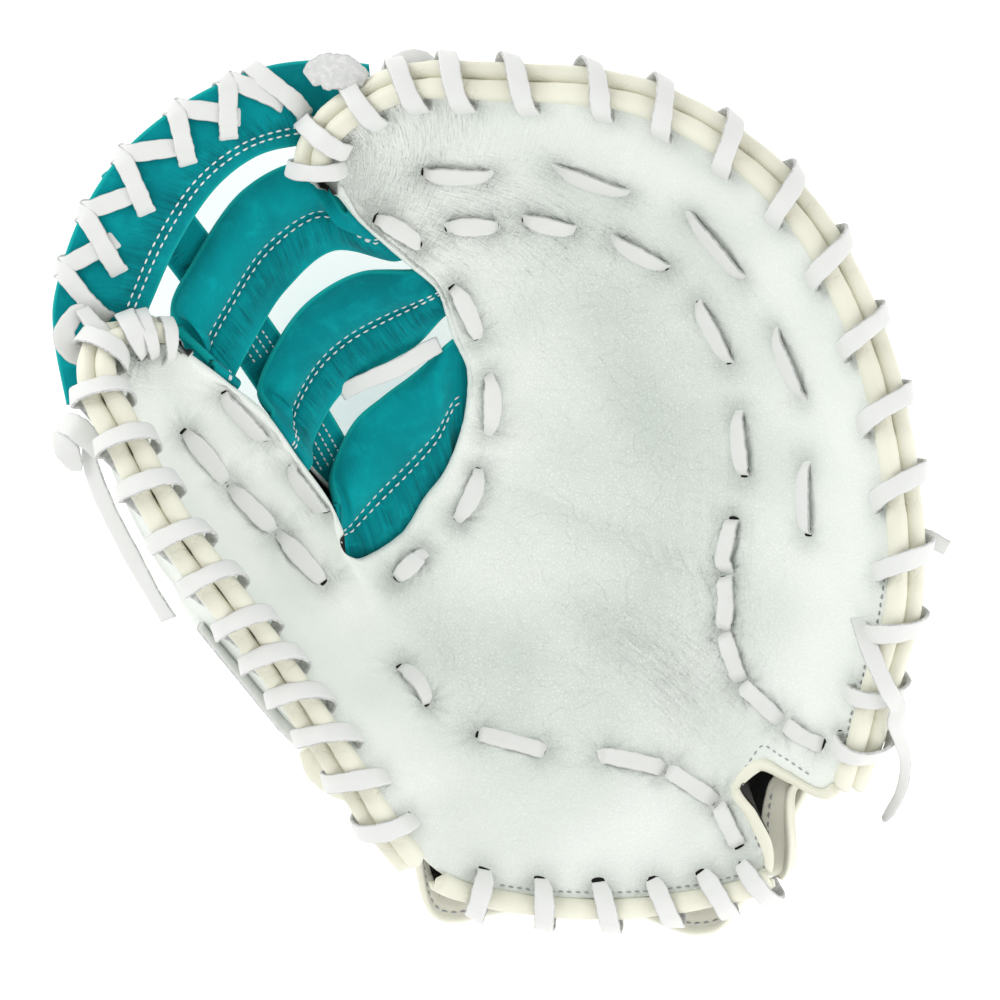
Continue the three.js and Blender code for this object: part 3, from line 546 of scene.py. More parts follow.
def loft(rings):
    # closed skin over rings of points, with a fan of triangles round the middle of each end
    n, m, _ = rings.shape
    points = np.vstack([rings.reshape(-1, 3), rings[0].mean(0), rings[-1].mean(0)])
    j = np.arange(m)
    k = (j + 1) % m
    head = np.stack([k, j, np.full(m, n * m)], -1)
    tail = np.stack([(n - 1) * m + j, (n - 1) * m + k, np.full(m, n * m + 1)], -1)
    return points, gridFaces(n, m), np.vstack([head, tail])


def volume(points, quads, tris):
    faces = np.vstack([quads[:, [0, 1, 2]], quads[:, [0, 2, 3]], tris])
    a, b, c = (points[faces[:, i]] for i in range(3))
    return float((a * np.cross(b, c)).sum())


def ringMarks(marks, rings):
    # a value for each point of the rings, and its mean for the two middles of the ends
    marks = np.broadcast_to(marks, rings.shape[:2])
    return np.concatenate([marks.ravel(), [marks[0].mean(), marks[-1].mean()]])


def ringMap(lengths, breadth, rings):
    # the surface map of the rings: metres along and across, and two places more for the ends' middles
    across = np.linspace(0, breadth, rings.shape[1])
    grid = [np.broadcast_to(values, rings.shape[:2]).ravel() for values in (lengths[:, None], across)]
    uv = np.column_stack(grid)
    return np.vstack([uv, uv[:2]])


def halfRound(a, b, outward, steps, fullness):
    # round edge from points a to points b that bulges outward
    turn = np.linspace(0, np.pi, steps + 2)[1:-1]
    middle, half = (a + b) / 2, (a - b) / 2
    reach = np.linalg.norm(half, axis=-1)[:, None, None] * fullness
    bulge = outward[:, None] * reach * np.sin(turn)[None, :, None]
    return middle[:, None] + half[:, None] * np.cos(turn)[None, :, None] + bulge


def makePiece(name, shape, finish, replaces=(), marks=None, uv=None):
    # a mesh from points, quads and triangles, turned to face outwards, riding on the mitt's one body
    points, quads, tris = shape
    if volume(points, quads, tris) < 0:
        quads, tris = quads[:, ::-1], tris[:, ::-1]
    corners = np.concatenate([quads.ravel(), tris.ravel()]).astype(np.int32)
    sizes = np.concatenate([np.full(len(quads), 4), np.full(len(tris), 3)])
    mesh = bpy.data.meshes.new(name)
    mesh.vertices.add(len(points))
    mesh.vertices.foreach_set("co", points.astype(np.float32).ravel())
    mesh.loops.add(len(corners))
    mesh.loops.foreach_set("vertex_index", corners)
    mesh.polygons.add(len(sizes))
    mesh.polygons.foreach_set("loop_start", np.concatenate([[0], np.cumsum(sizes)[:-1]]).astype(np.int32))
    for key, values in (marks or {}).items():
        layer = mesh.attributes.new(key, "FLOAT", "POINT")
        layer.data.foreach_set("value", np.asarray(values, np.float32))
    if uv is not None:
        layer = mesh.uv_layers.new(name="surface")
        layer.data.foreach_set("uv", uv[corners].astype(np.float32).ravel())
    mesh.update(calc_edges=True)
    mesh.validate()
    mesh.shade_smooth()
    mesh.materials.append(finish)
    piece = bpy.data.objects.new(name, mesh)
    bpy.context.scene.collection.objects.link(piece)
    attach(piece, "root")
    if replaces:
        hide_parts(*replaces)
    return piece


def joined(shapes):
    # several shapes as one, with their point numbers shifted
    shift = np.cumsum([0] + [len(s[0]) for s in shapes[:-1]])
    points = np.vstack([s[0] for s in shapes])
    quads = np.vstack([s[1] + k for s, k in zip(shapes, shift)])
    tris = np.vstack([s[2] + k for s, k in zip(shapes, shift)])
    return points, quads, tris


def throughPoints(points, steps):
    # Catmull-Rom curve: steps even places between each two points
    points = np.asarray(points, float)
    padded = np.vstack([2 * points[0] - points[1], points, 2 * points[-1] - points[-2]])
    a, b, c, d = padded[:-3], padded[1:-2], padded[2:-1], padded[3:]
    t = (np.arange(steps) / steps)[None, :, None]
    a, b, c, d = (p[:, None, :] for p in (a, b, c, d))
    bend, swing = 2 * a - 5 * b + 4 * c - d, 3 * b - a - 3 * c + d
    curve = 0.5 * (2 * b + (c - a) * t + bend * t**2 + swing * t**3)
    return np.vstack([curve.reshape(-1, points.shape[1]), points[-1:]])


def chords(points):
    # from the neighbour before each point to the one after
    return np.vstack([points[1:], points[-1:]]) - np.vstack([points[:1], points[:-1]])


def facing(points, faces):
    # width directions from the way a strap's face should look at each point
    return unit(np.cross(faces, chords(points)))


def loopFaces(loop):
    # outward direction at each corner of a loop in a plane
    loop = np.asarray(loop)
    before, after = np.roll(loop, 1, axis=0), np.roll(loop, -1, axis=0)
    return unit(np.column_stack([before[:, 1] - after[:, 1], after[:, 0] - before[:, 0]]))


strapLook = {
    "corners": 14,  # points round the section
    "squareAcross": 0.42,  # below 1 the section is squarer
    "squareDeep": 0.7,
    "twist": 0.16,  # how far a lace rolls over, in radians
    "twistChange": 0.6,
    "wave": 0.55,  # radians of the waves at each step
    "swell": 0.04,  # change of width, as a share
    "fineSwell": 0.025,
    "cup": 0.10,  # how far the middle sinks, as a share of the thickness
    "cutEdge": 0.75,  # height where the cut side begins
    "cutFade": 2.2,
}


def strapShape(points, sides, width, steps, twist=strapLook["twist"]):
    # rounded oblong carried along a curve; its second value marks the grain side 0 and the cut side 1
    look = strapLook
    thickness = mitt["laceThickness"]
    width = throughPoints(np.broadcast_to(width, len(points)).reshape(-1, 1), steps)[:, 0]
    path = throughPoints(points, steps)
    side = throughPoints(sides, steps)
    tangent = unit(np.gradient(path, axis=0))
    side = unit(side - tangent * (side * tangent).sum(-1, keepdims=True))
    normal = np.cross(tangent, side)
    wave = np.arange(len(path)) * look["wave"]
    turn = twist * (1 + look["twistChange"] * np.sin(wave * 0.37))[:, None]
    side, normal = side * np.cos(turn) + normal * np.sin(turn), normal * np.cos(turn) - side * np.sin(turn)
    angle = roundAngles(look["corners"]) + np.pi / look["corners"]
    across = squarer(np.cos(angle), look["squareAcross"])
    deep = squarer(np.sin(angle), look["squareDeep"])
    swell = look["swell"] * np.sin(wave * 0.8 + 1)
    half = width / 2 * (1 + swell + look["fineSwell"] * np.sin(wave * 2.1))
    cup = look["cup"] * thickness * (across**2 - 0.5)
    rings = path[:, None, :] + side[:, None, :] * (half[:, None] * across)[..., None]
    rings = rings + normal[:, None, :] * (thickness / 2 * deep + cup)[None, :, None]
    cutSide = np.clip((look["cutEdge"] - deep) * look["cutFade"], 0, 1)
    return rings, np.broadcast_to(cutSide, rings.shape[:2])


def sweepShape(middle, u, v, radius, sides):
    # round section carried along a line: its radius may change along the way
    angle = roundAngles(sides)
    radius = np.broadcast_to(radius, len(middle))[:, None, None]
    circle = u[:, None, :] * np.cos(angle)[None, :, None] + v[:, None, :] * np.sin(angle)[None, :, None]
    return middle[:, None, :] + radius * circle


# Shader maths


class Wire:
    # an output socket; arithmetic on it adds Math nodes
    def __init__(self, finish, socket):
        self.finish = finish
        self.socket = socket

    def join(self, operation, other, swapped=False):
        values = {0: other, 1: self} if swapped else {0: self, 1: other}
        return self.finish.node("ShaderNodeMath", {"operation": operation}, values)

    def __add__(self, other):
        return self.join("ADD", other)

    def __sub__(self, other):
        return self.join("SUBTRACT", other)

    def __rsub__(self, other):
        return self.join("SUBTRACT", other, swapped=True)

    def __mul__(self, other):
        return self.join("MULTIPLY", other)

    __radd__ = __add__
    __rmul__ = __mul__

    def between(self, low, high):
        # 0 at low, 1 at high, smooth and held outside
        settings = {"interpolation_type": "SMOOTHSTEP"}
        values = {"Value": self, "From Min": low, "From Max": high}
        return self.finish.node("ShaderNodeMapRange", settings, values)

    def nearMiddle(self, width):
        # of a noise: 0 along the lines where it is 0.5, 1 from the width away
        return (self - 0.5).join("ABSOLUTE", 0.0).between(0.0, width)


class Finish:
    # a material with one principled shader, built by naming nodes, settings and inputs
    def __init__(self, name):
        self.material = bpy.data.materials.new(name)
        self.material.use_nodes = True
        self.tree = self.material.node_tree
        self.shader = self.tree.nodes["Principled BSDF"]

    def node(self, kind, settings=None, values=None, output=0):
        made = self.tree.nodes.new(kind)
        for key, value in (settings or {}).items():
            setattr(made, key, value)
        self.feed(made, values or {})
        return Wire(self, made.outputs[output])

    def feed(self, made, values):
        for key, value in values.items():
            if isinstance(value, Wire):
                self.tree.links.new(value.socket, made.inputs[key])
            else:
                made.inputs[key].default_value = value

    def shade(self, **values):
        self.feed(self.shader, {key.replace("_", " "): value for key, value in values.items()})

    def spot(self):
        return self.node("ShaderNodeTexCoord", output="Object")

    def surface(self):
        return self.node("ShaderNodeTexCoord", output="UV")

    def mark(self, name):
        return self.node("ShaderNodeAttribute", {"attribute_name": name}, output="Fac")

    def noise(self, vector, scale, detail=3.0, roughness=0.5, distortion=0.0):
        values = {"Vector": vector, "Scale": scale, "Detail": detail, "Roughness": roughness}
        return self.node("ShaderNodeTexNoise", values={**values, "Distortion": distortion})

    def lines(self, scale, **look):
        # noise drawn out over the piece's own surface map, by its scale along and across
        drawn = self.node("ShaderNodeMapping", values={"Vector": self.surface(), "Scale": (*scale, 1.0)})
        return self.noise(drawn, 1.0, **look)

    def cells(self, vector, scale):
        settings = {"feature": "DISTANCE_TO_EDGE"}
        return self.node("ShaderNodeTexVoronoi", settings, {"Vector": vector, "Scale": scale})

    def warped(self, vector, scale, amount):
        # the place moved by a coloured noise
        values = {"Vector": vector, "Scale": scale, "Detail": 2.0}
        shift = self.node("ShaderNodeTexNoise", values=values, output="Color")
        shift = self.node("ShaderNodeVectorMath", {"operation": "SUBTRACT"}, {0: shift, 1: (0.5, 0.5, 0.5)})
        shift = self.node("ShaderNodeVectorMath", {"operation": "SCALE"}, {0: shift, "Scale": amount})
        return self.node("ShaderNodeVectorMath", {"operation": "ADD"}, {0: vector, 1: shift})

    def blend(self, factor, first, second):
        return self.node("ShaderNodeMix", {"data_type": "RGBA"}, {0: factor, 6: first, 7: second}, output=2)

    def bump(self, height, distance, strength=1.0, before=None):
        values = {"Height": height, "Distance": distance, "Strength": strength}
        if before is not None:
            values["Normal"] = before
        return self.node("ShaderNodeBump", values=values)


def paint(red, green, blue):
    # a colour read off a screen, 0 to 255, as the light it stands for
    values = [c / 255 for c in (red, green, blue)]
    return tuple(c / 12.92 if c <= 0.04045 else ((c + 0.055) / 1.055) ** 2.4 for c in values) + (1.0,)


# Finishes

palmLook = {
    "tone": paint(245, 249, 243),
    # shade: darker tone of the random cloud, and painted shade in the pocket
    "shade": paint(209, 217, 209),
    "inside": paint(34, 33, 31),
    # painted shade in the crevices of the grain
    "crevice_shade": paint(150, 160, 152),
    # painted shade round the lace holes and in sewn grooves
    "pulled_and_shaded": paint(168, 173, 166),
    "grain": 780.0,  # cells in a metre
    "streaks": (60.0, 620.0),  # folds along the horseshoe, by their number in a metre along and across
    "fans": (900.0, 60.0),  # folds across it
    "grainDepth": 0.00020,
    "creaseDepth": 0.0009,
    "streakDepth": 0.0010,
    "fanDepth": 0.0016,
    "roughness": 0.5,
}


def palmFinish(name, look):
    f = Finish(name)
    spot = f.spot()
    crinkle_and_shade = f.mark("crinkle_and_shade")
    grainSpot = f.warped(spot, 260.0, 0.0022)
    grain = f.cells(grainSpot, look["grain"]).between(0.0, 0.32)
    fine = f.noise(spot, look["grain"] * 2.6, detail=2.0, roughness=0.6)
    folds = f.noise(f.warped(spot, 45.0, 0.02), 105.0, detail=2.0, roughness=0.55).nearMiddle(0.07)
    streaks = f.lines(look["streaks"], detail=2.0, roughness=0.6, distortion=0.4)
    height = grain * 0.65 + fine * 0.5
    low = f.bump(folds * crinkle_and_shade, look["creaseDepth"], 0.35)
    low = f.bump(streaks * f.mark("streak"), look["streakDepth"], 0.9, before=low)
    fans = f.lines(look["fans"], detail=2.0, roughness=0.6, distortion=0.5)
    low = f.bump(fans * f.mark("fan"), look["fanDepth"], 1.0, before=low)
    normal = f.bump(height * (crinkle_and_shade * 0.65 + 0.35), look["grainDepth"], 0.8, before=low)
    cloud = f.noise(spot, 26.0, detail=1.0).between(0.3, 0.75)
    # random cloud, and painted shade that deepens the pocket where the grain mark is strong
    colour = f.blend(cloud * 0.35 + crinkle_and_shade * 0.60, look["tone"], look["shade"])
    # painted shade in the grain's crevices, stronger in the pocket
    crevice_shade = (1.0 - grain) * (crinkle_and_shade * 0.16 + 0.03)
    colour = f.blend(crevice_shade, colour, look["crevice_shade"])
    # painted shade round the lace holes and in the back's sewn grooves
    colour = f.blend(f.mark("pull") * 0.3, colour, look["pulled_and_shaded"])
    colour = f.blend(f.mark("inside"), colour, look["inside"])
    f.shade(Base_Color=colour, Normal=normal, Specular_IOR_Level=0.4)
    f.shade(Roughness=look["roughness"] + 0.12 * fine)
    return f.material


rollLook = {
    "tone": paint(236, 235, 218),
    "shade": paint(206, 204, 184),
    "roughness": 0.38,
    "foldDepth": 0.0002,
    "grainDepth": 0.00006,
}


def rollFinish(name, look):
    f = Finish(name)
    spot = f.spot()
    fine = f.noise(spot, 1500.0, detail=3.0, roughness=0.6)
    folds = f.noise(f.warped(spot, 90.0, 0.01), 160.0, detail=2.0).nearMiddle(0.08)
    low = f.bump(folds * f.mark("pull"), look["foldDepth"], 0.6)
    normal = f.bump(fine, look["grainDepth"], 0.8, before=low)
    cloud = f.noise(spot, 35.0, detail=3.0).between(0.3, 0.75)
    # random cloud, and darker by the pull mark: painted shade where the laces pinch the rolls, a darker inner
    # half on the wrist strap and notch panel
    colour = f.blend(cloud * 0.35 + f.mark("pull") * 0.25, look["tone"], look["shade"])
    f.shade(Base_Color=colour, Normal=normal, Specular_IOR_Level=0.45)
    f.shade(Roughness=look["roughness"] + 0.15 * fine)
    return f.material


laceLook = {
    "tone": paint(223, 224, 221),
    "light": paint(229, 231, 229),
    "cutSide": paint(172, 175, 175),
    "worn": paint(222, 221, 218),
    "roughness": 0.5,
    "softDepth": 0.0005,
    "fibreDepth": 0.00016,
}


def laceFinish(name, look):
    f = Finish(name)
    spot = f.spot()
    fibre = f.noise(spot, 1900.0, detail=4.0, roughness=0.7)
    soft = f.noise(spot, 240.0, detail=2.0)
    wear = f.noise(spot, 520.0, detail=3.0, roughness=0.6).between(0.35, 0.75)
    cutSide = f.mark("cutSide").between(0.05, 0.65)
    normal = f.bump(soft, look["softDepth"], 0.35)
    normal = f.bump(fibre * (cutSide * 0.8 + 0.2), look["fibreDepth"], 0.9, before=normal)
    colour = f.blend(soft.between(0.3, 0.8) * 0.25, look["tone"], look["light"])
    suede = f.blend(wear, look["cutSide"], look["worn"])
    colour = f.blend(cutSide * 0.85, colour, suede)
    f.shade(Base_Color=colour, Normal=normal, Roughness=look["roughness"] + 0.35 * cutSide)
    return f.material


webLook = {
    "tone": paint(0, 148, 154),
    "light": paint(10, 182, 186),
    # dark: darker tone of the random cloud, and painted shade in the wrinkles
    "dark": paint(0, 96, 105),
    "edge": paint(16, 170, 166),
    "wrinkles": (820.0, 60.0),  # number in a metre along and across
    "wrinkleDepth": 0.0016,
    "brushDepth": 0.0006,
    "napDepth": 0.00012,
}


def webFinish(name, look):
    f = Finish(name)
    spot = f.spot()
    nap = f.noise(spot, 2200.0, detail=4.0, roughness=0.75)
    brushed = f.noise(f.warped(spot, 60.0, 0.015), 130.0, detail=4.0, roughness=0.6)
    cloud = f.noise(spot, 34.0, detail=3.0).between(0.25, 0.8)
    wrinkles = f.lines(look["wrinkles"], distortion=0.4)
    low = f.bump(wrinkles * f.mark("crinkle_and_shade"), look["wrinkleDepth"], 1.0)
    low = f.bump(brushed, look["brushDepth"], 0.35, before=low)
    normal = f.bump(nap, look["napDepth"], 0.9, before=low)
    colour = f.blend(cloud * 0.6, look["tone"], look["dark"])
    # painted shade in the folds of the wrinkles on the inner half of each ribbon
    colour = f.blend(f.mark("crinkle_and_shade") * wrinkles.between(0.35, 0.75) * 0.75, colour, look["dark"])
    colour = f.blend(brushed.between(0.45, 0.8) * 0.4, colour, look["light"])
    colour = f.blend(nap.between(0.55, 0.8) * 0.3, colour, look["light"])
    colour = f.blend(f.mark("edge") * 0.7, colour, look["edge"])
    f.shade(Base_Color=colour, Normal=normal, Roughness=0.85 + 0.1 * nap)
    f.shade(Sheen_Weight=0.06, Sheen_Roughness=0.5, Specular_IOR_Level=0.08)
    return f.material


threadLook = {"ply": 3500.0, "shade": paint(170, 172, 172), "depth": 0.0001}


def threadFinish(name, tone):
    f = Finish(name)
    ply = f.noise(f.spot(), threadLook["ply"], detail=2.0)
    f.shade(Base_Color=f.blend(ply * 0.4, tone, threadLook["shade"]), Roughness=0.6 + 0.2 * ply)
    f.shade(Normal=f.bump(ply, threadLook["depth"], 0.6))
    return f.material


clothDepth = 0.0003


def clothFinish(name, tone, light, scale):
    f = Finish(name)
    weave = f.noise(f.spot(), scale, detail=4.0, roughness=0.7)
    f.shade(Base_Color=f.blend(weave.between(0.4, 0.8), tone, light), Roughness=0.85 + 0.1 * weave)
    f.shade(Normal=f.bump(weave, clothDepth, 0.8), Specular_IOR_Level=0.2)
    return f.material


finishes = {
    "palm": palmFinish("white_palm_leather", palmLook),
    "roll": rollFinish("cream_roll_leather", rollLook),
    "lace": laceFinish("white_lace_leather", laceLook),
    "web": webFinish("teal_web_suede", webLook),
    "thread": threadFinish("white_thread", paint(244, 247, 247)),
    "greyThread": threadFinish("grey_thread", paint(158, 162, 166)),
    "lining": clothFinish("black_lining", paint(13, 13, 13), paint(34, 33, 32), 1800.0),
    "fur": clothFinish("dark_pile", paint(38, 36, 33), paint(96, 90, 82), 900.0),
    "hole": clothFinish("hole_shadow", paint(20, 19, 18), paint(44, 42, 40), 1500.0),
}
print("finishes made")

# Camera and light

view = {
    "centre": (-0.0667, 0.0348),  # middle of the picture on the floor
    "frame": 0.340,  # metres across the picture at the mitt's middle height
    "height": 3.0,
    "middle": 0.06,
}


def makeCamera():
    data = bpy.data.cameras.new("camera")
    data.sensor_width = 36.0
    data.lens = data.sensor_width * (view["height"] - view["middle"]) / view["frame"]
    camera = bpy.data.objects.new("camera", data)
    camera.location = (*view["centre"], view["height"])
    bpy.context.scene.collection.objects.link(camera)
    bpy.context.scene.camera = camera


lights = {
    "key": {"at": (-1.3, 0.9, 0.85), "size": 1.2, "power": 13.0},
    "fill": {"at": (1.4, -0.2, 0.75), "size": 1.4, "power": 9.0},
    "low": {"at": (0.1, -1.4, 0.85), "size": 1.4, "power": 8.0},
    "sky": 0.735,
    "floor": paint(247, 247, 246),
    "floorGlow": 0.28,
    "floorHalf": 3.0,  # half its side
    "floorDrop": 0.0003,  # how far below the mitt it lies
}


def makeLights():
    target = Vector((*view["centre"], 0.04))
    for name in ("key", "fill", "low"):
        look = lights[name]
        data = bpy.data.lights.new(name, "AREA")
        data.shape = "SQUARE"
        data.size = look["size"]
        data.energy = look["power"]
        lamp = bpy.data.objects.new(name, data)
        lamp.location = look["at"]
        lamp.rotation_euler = (target - lamp.location).to_track_quat("-Z", "Y").to_euler()
        bpy.context.scene.collection.objects.link(lamp)
    world = bpy.data.worlds.new("studio")
    world.use_nodes = True
    world.node_tree.nodes["Background"].inputs["Color"].default_value = (1, 1, 1, 1)
    world.node_tree.nodes["Background"].inputs["Strength"].default_value = lights["sky"]
    bpy.context.scene.world = world
    bpy.context.scene.view_settings.view_transform = "Standard"


def makeFloor():
    f = Finish("pale_floor")
    f.shade(Base_Color=lights["floor"], Roughness=0.9, Specular_IOR_Level=0.1)
    f.shade(Emission_Color=lights["floor"], Emission_Strength=lights["floorGlow"])
    half, low = lights["floorHalf"], -lights["floorDrop"]
    corners = [(x * half, y * half, low) for x, y in ((-1, -1), (1, -1), (1, 1), (-1, 1))]
    mesh = bpy.data.meshes.new("floor")
    mesh.from_pydata(corners, [], [(0, 1, 2, 3)])
    mesh.materials.append(f.material)
    floor = bpy.data.objects.new("floor", mesh)
    bpy.context.scene.collection.objects.link(floor)


makeCamera()
makeLights()
makeFloor()
print("camera, lights and floor placed")

# Holes of the laces, which pull the leather in

turnReach = 0.0052
outerReach = 2 * mitt["roll"] + 3 * mitt["gap"] + mitt["laceThickness"] / 2
rollOut = mitt["roll"] + mitt["gap"]
frontDrop = mitt["roll"] * 0.45
backDrop = frontDrop + 2 * mitt["roll"] + mitt["gap"]
over = mitt["laceThickness"] / 2 + mitt["gap"]
bindingOut = mitt["binding"] + mitt["gap"]


def laceEnds():
    # station and share of both ends of every running stretch, by lace
    ends = {}
    for name, rows in palmLaces.items():
        rows = np.array(rows)
        flat = place(np.column_stack([rows.reshape(-1, 2), np.zeros(2 * len(rows))]))
        s, t = onPalm(flat[:, 0], flat[:, 1])
        ends[name] = np.column_stack([s, t]).reshape(-1, 2, 2)
    return ends


ends = laceEnds()
runningEnds = np.vstack([pair.reshape(-1, 2) for pair in ends.values()])
wrapStations = np.concatenate([rim["holes"] for rim in rimWraps.values()])
holePoint, holeOut, holeForward, holeOff = palmFrame(
    np.concatenate([runningEnds[:, 0], wrapStations]),
    np.concatenate([runningEnds[:, 1], np.full(len(wrapStations), 1.0)]),
)
isWrap = np.arange(len(holePoint)) >= len(runningEnds)
holePoint = holePoint - holeOut * (isWrap * turnReach * 0.85)[:, None]

reliefLook = {
    "pit": 0.0009,
    "pitRadius": 0.0028,
    "dimple": 0.0007,
    "dimpleRadius": 0.0065,
    "wrinkle": 0.00026,
    "wrinkleAt": 0.0065,  # radius of the ring of wrinkles round a hole
    "wrinkleReach": 0.0045,
    "pullReach": 0.006,
    "swell": 0.0009,
    "wrapDimple": 0.6,  # at the rim's holes, as a share of that at the others
    "wrapWrinkle": 0.7,
}


def relief(points):
    # height of the leather over the plain palm: pits and dimples at holes, wrinkles round them, soft swells
    look = reliefLook
    x, y = points[..., 0], points[..., 1]
    height = np.zeros(points.shape[:-1])
    pulled_and_shaded = np.zeros(points.shape[:-1])
    for k in range(len(holePoint)):
        away = points - holePoint[k]
        distance = np.linalg.norm(away, axis=-1)
        height = height - look["pit"] * bell(distance, look["pitRadius"])
        dimple = bell(distance, look["dimpleRadius"]) * (look["wrapDimple"] if isWrap[k] else 1)
        height = height - look["dimple"] * dimple
        angle = np.arctan2(away @ holeForward[k], away @ holeOut[k])
        lines = np.sin((7 + k % 3) * angle + k) + 0.6 * np.sin(13 * angle + 2.1 * k)
        ring = bell(distance - look["wrinkleAt"], look["wrinkleReach"])
        height = height + look["wrinkle"] * lines * ring * (look["wrapWrinkle"] if isWrap[k] else 1)
        # nearness to a hole: the leather pulled in there, and painted shade round it
        pulled_and_shaded = np.maximum(pulled_and_shaded, bell(distance, look["pullReach"]))
    height = height + look["swell"] * np.sin(x * 95 + 1.3) * np.sin(y * 80 + 0.6 + 1.5 * np.sin(x * 40))
    height = height + 0.4 * look["swell"] * np.sin(x * 170 - y * 120 + 2.0) * np.sin(y * 150 + x * 60)
    return height, pulled_and_shaded


palmGrid = {"along": 470, "across": 150, "under": 8, "edge": 3}
# Fields of fine folds: their middle and reach in stations, then in shares across
foldFields = {
    "crease": (22.5, 3.2, 0.55, 0.16),
    "web": (33.0, 3.0, 0.0, 0.28),
    "heel": (17.5, 2.0, 0.5, 0.22),
    "slant": (31.5, 2.6, 0.45, 0.3),
}
foldDepth = {"crease": 0.00035, "tip": 0.00010, "slant": 0.00009, "heel": 0.00020, "edge": 0.0009}
surfaceStep = 0.02  # metres of the surface map for each station


def makePalm():
    stations = np.linspace(firstStation, lastStation, palmGrid["along"])
    shares = np.linspace(0, 1, palmGrid["across"])
    s, t = np.meshgrid(stations, shares, indexing="ij")
    point, out, _, off = palmFrame(s, t)
    height, pulled_and_shaded = relief(point)
    # sine folds in each field, and off both tips; the edge stitched to the first roll turns down a little
    fields = {key: bell(s - a, b) * bell(t - c, d) for key, (a, b, c, d) in foldFields.items()}
    crease, web, heel, slant = (fields[key] for key in ("crease", "web", "heel", "slant"))
    tips = bell(s - 35.0, 2.6) * (0.5 + 0.5 * t) + 0.6 * bell(s - 1.5, 1.5) * t
    fine = np.sin(s * 27 + 5 * t + 1.5 * np.sin(s * 5 + 9 * t)) + 0.6 * np.sin(s * 61 - 7 * t)
    height = height - foldDepth["crease"] * crease * (1 + np.sin(t * 150 + s * 1.3))
    height = height + foldDepth["tip"] * tips * fine
    height = height + foldDepth["slant"] * slant * np.sin(t * 210 + s * 9 + 2 * np.sin(s * 3))
    height = height + foldDepth["heel"] * heel * np.sin(t * 95 - s * 2.2)
    height = height - foldDepth["edge"] * bell(t - 1, 0.02)
    top = point + off * height[..., None]
    underShares = np.linspace(1, 0, palmGrid["under"])
    us, ut = np.meshgrid(stations, underShares, indexing="ij")
    upoint, _, _, uoff = palmFrame(us, ut)
    under = upoint - uoff * padDepth(ut)[..., None]
    outerSide = halfRound(top[:, -1], under[:, 0], out[:, -1] * 0.3, palmGrid["edge"], 0.7)
    innerSide = halfRound(under[:, -1], top[:, 0], -out[:, 0], palmGrid["edge"], 0.7)
    rings = np.concatenate([top, outerSide, under, innerSide], axis=1)
    count = palmGrid["across"]
    extra = rings.shape[1] - count
    # strength of the leather's grain and of the painted shade in the pocket: most in the pocket, least at the
    # finger tip
    pocket = np.clip(1 - np.abs(t - 0.38) / 0.62, 0.25, 1) * np.clip((s - 8) / 4, 0.15, 1)
    tip = np.clip((34.5 - s) / 4, 0.35, 1)

    def marked(values, rest):
        wide = np.concatenate([values, np.full((len(stations), extra), rest)], axis=1)
        return ringMarks(wide, rings)

    inside = np.zeros((len(stations), extra))
    inside[:, palmGrid["edge"] : palmGrid["edge"] + palmGrid["under"]] = 1
    inside[(stations > notchStart) & (stations < notchEnd), : palmGrid["edge"]] = 1
    marks = {
        "crinkle_and_shade": marked(np.clip(pocket * tip + 0.4 * pulled_and_shaded, 0, 1), 0.2),
        "streak": marked(np.clip(crease + 0.8 * web + 0.8 * heel + slant + 0.5 * pulled_and_shaded, 0, 1), 0.0),
        "fan": marked(np.clip(tips + 0.5 * heel + 0.35 * pulled_and_shaded, 0, 1), 0.0),
        # the pull mark also places painted shade round the holes
        "pull": marked(pulled_and_shaded, 0.0),
        "inside": ringMarks(np.concatenate([np.zeros((len(stations), count)), inside], axis=1), rings),
    }
    uv = ringMap(stations * surfaceStep, 0.16, rings)
    palm = makePiece("palm_leather", loft(rings), finishes["palm"], ["palm_shell"], marks, uv)


makePalm()
print("palm made")

backLook = {
    "along": 300,
    "across": 64,
    "rimReach": 0.015,  # how far it goes on past its share where it meets the rim's rolls
    "webTuck": 0.10,  # how far its inner edge stays back beside the web
    "tipTuck": 0.12,  # and at both tips
    "rib": 0.0016,
    "ribs": (6.4, 24.3, 27.6, 31.2),  # stations of the grooves
    "ribReach": 0.16,
    "swell": 0.0007,
    "smoothing": 90,  # rounds of evening out at the tips
}


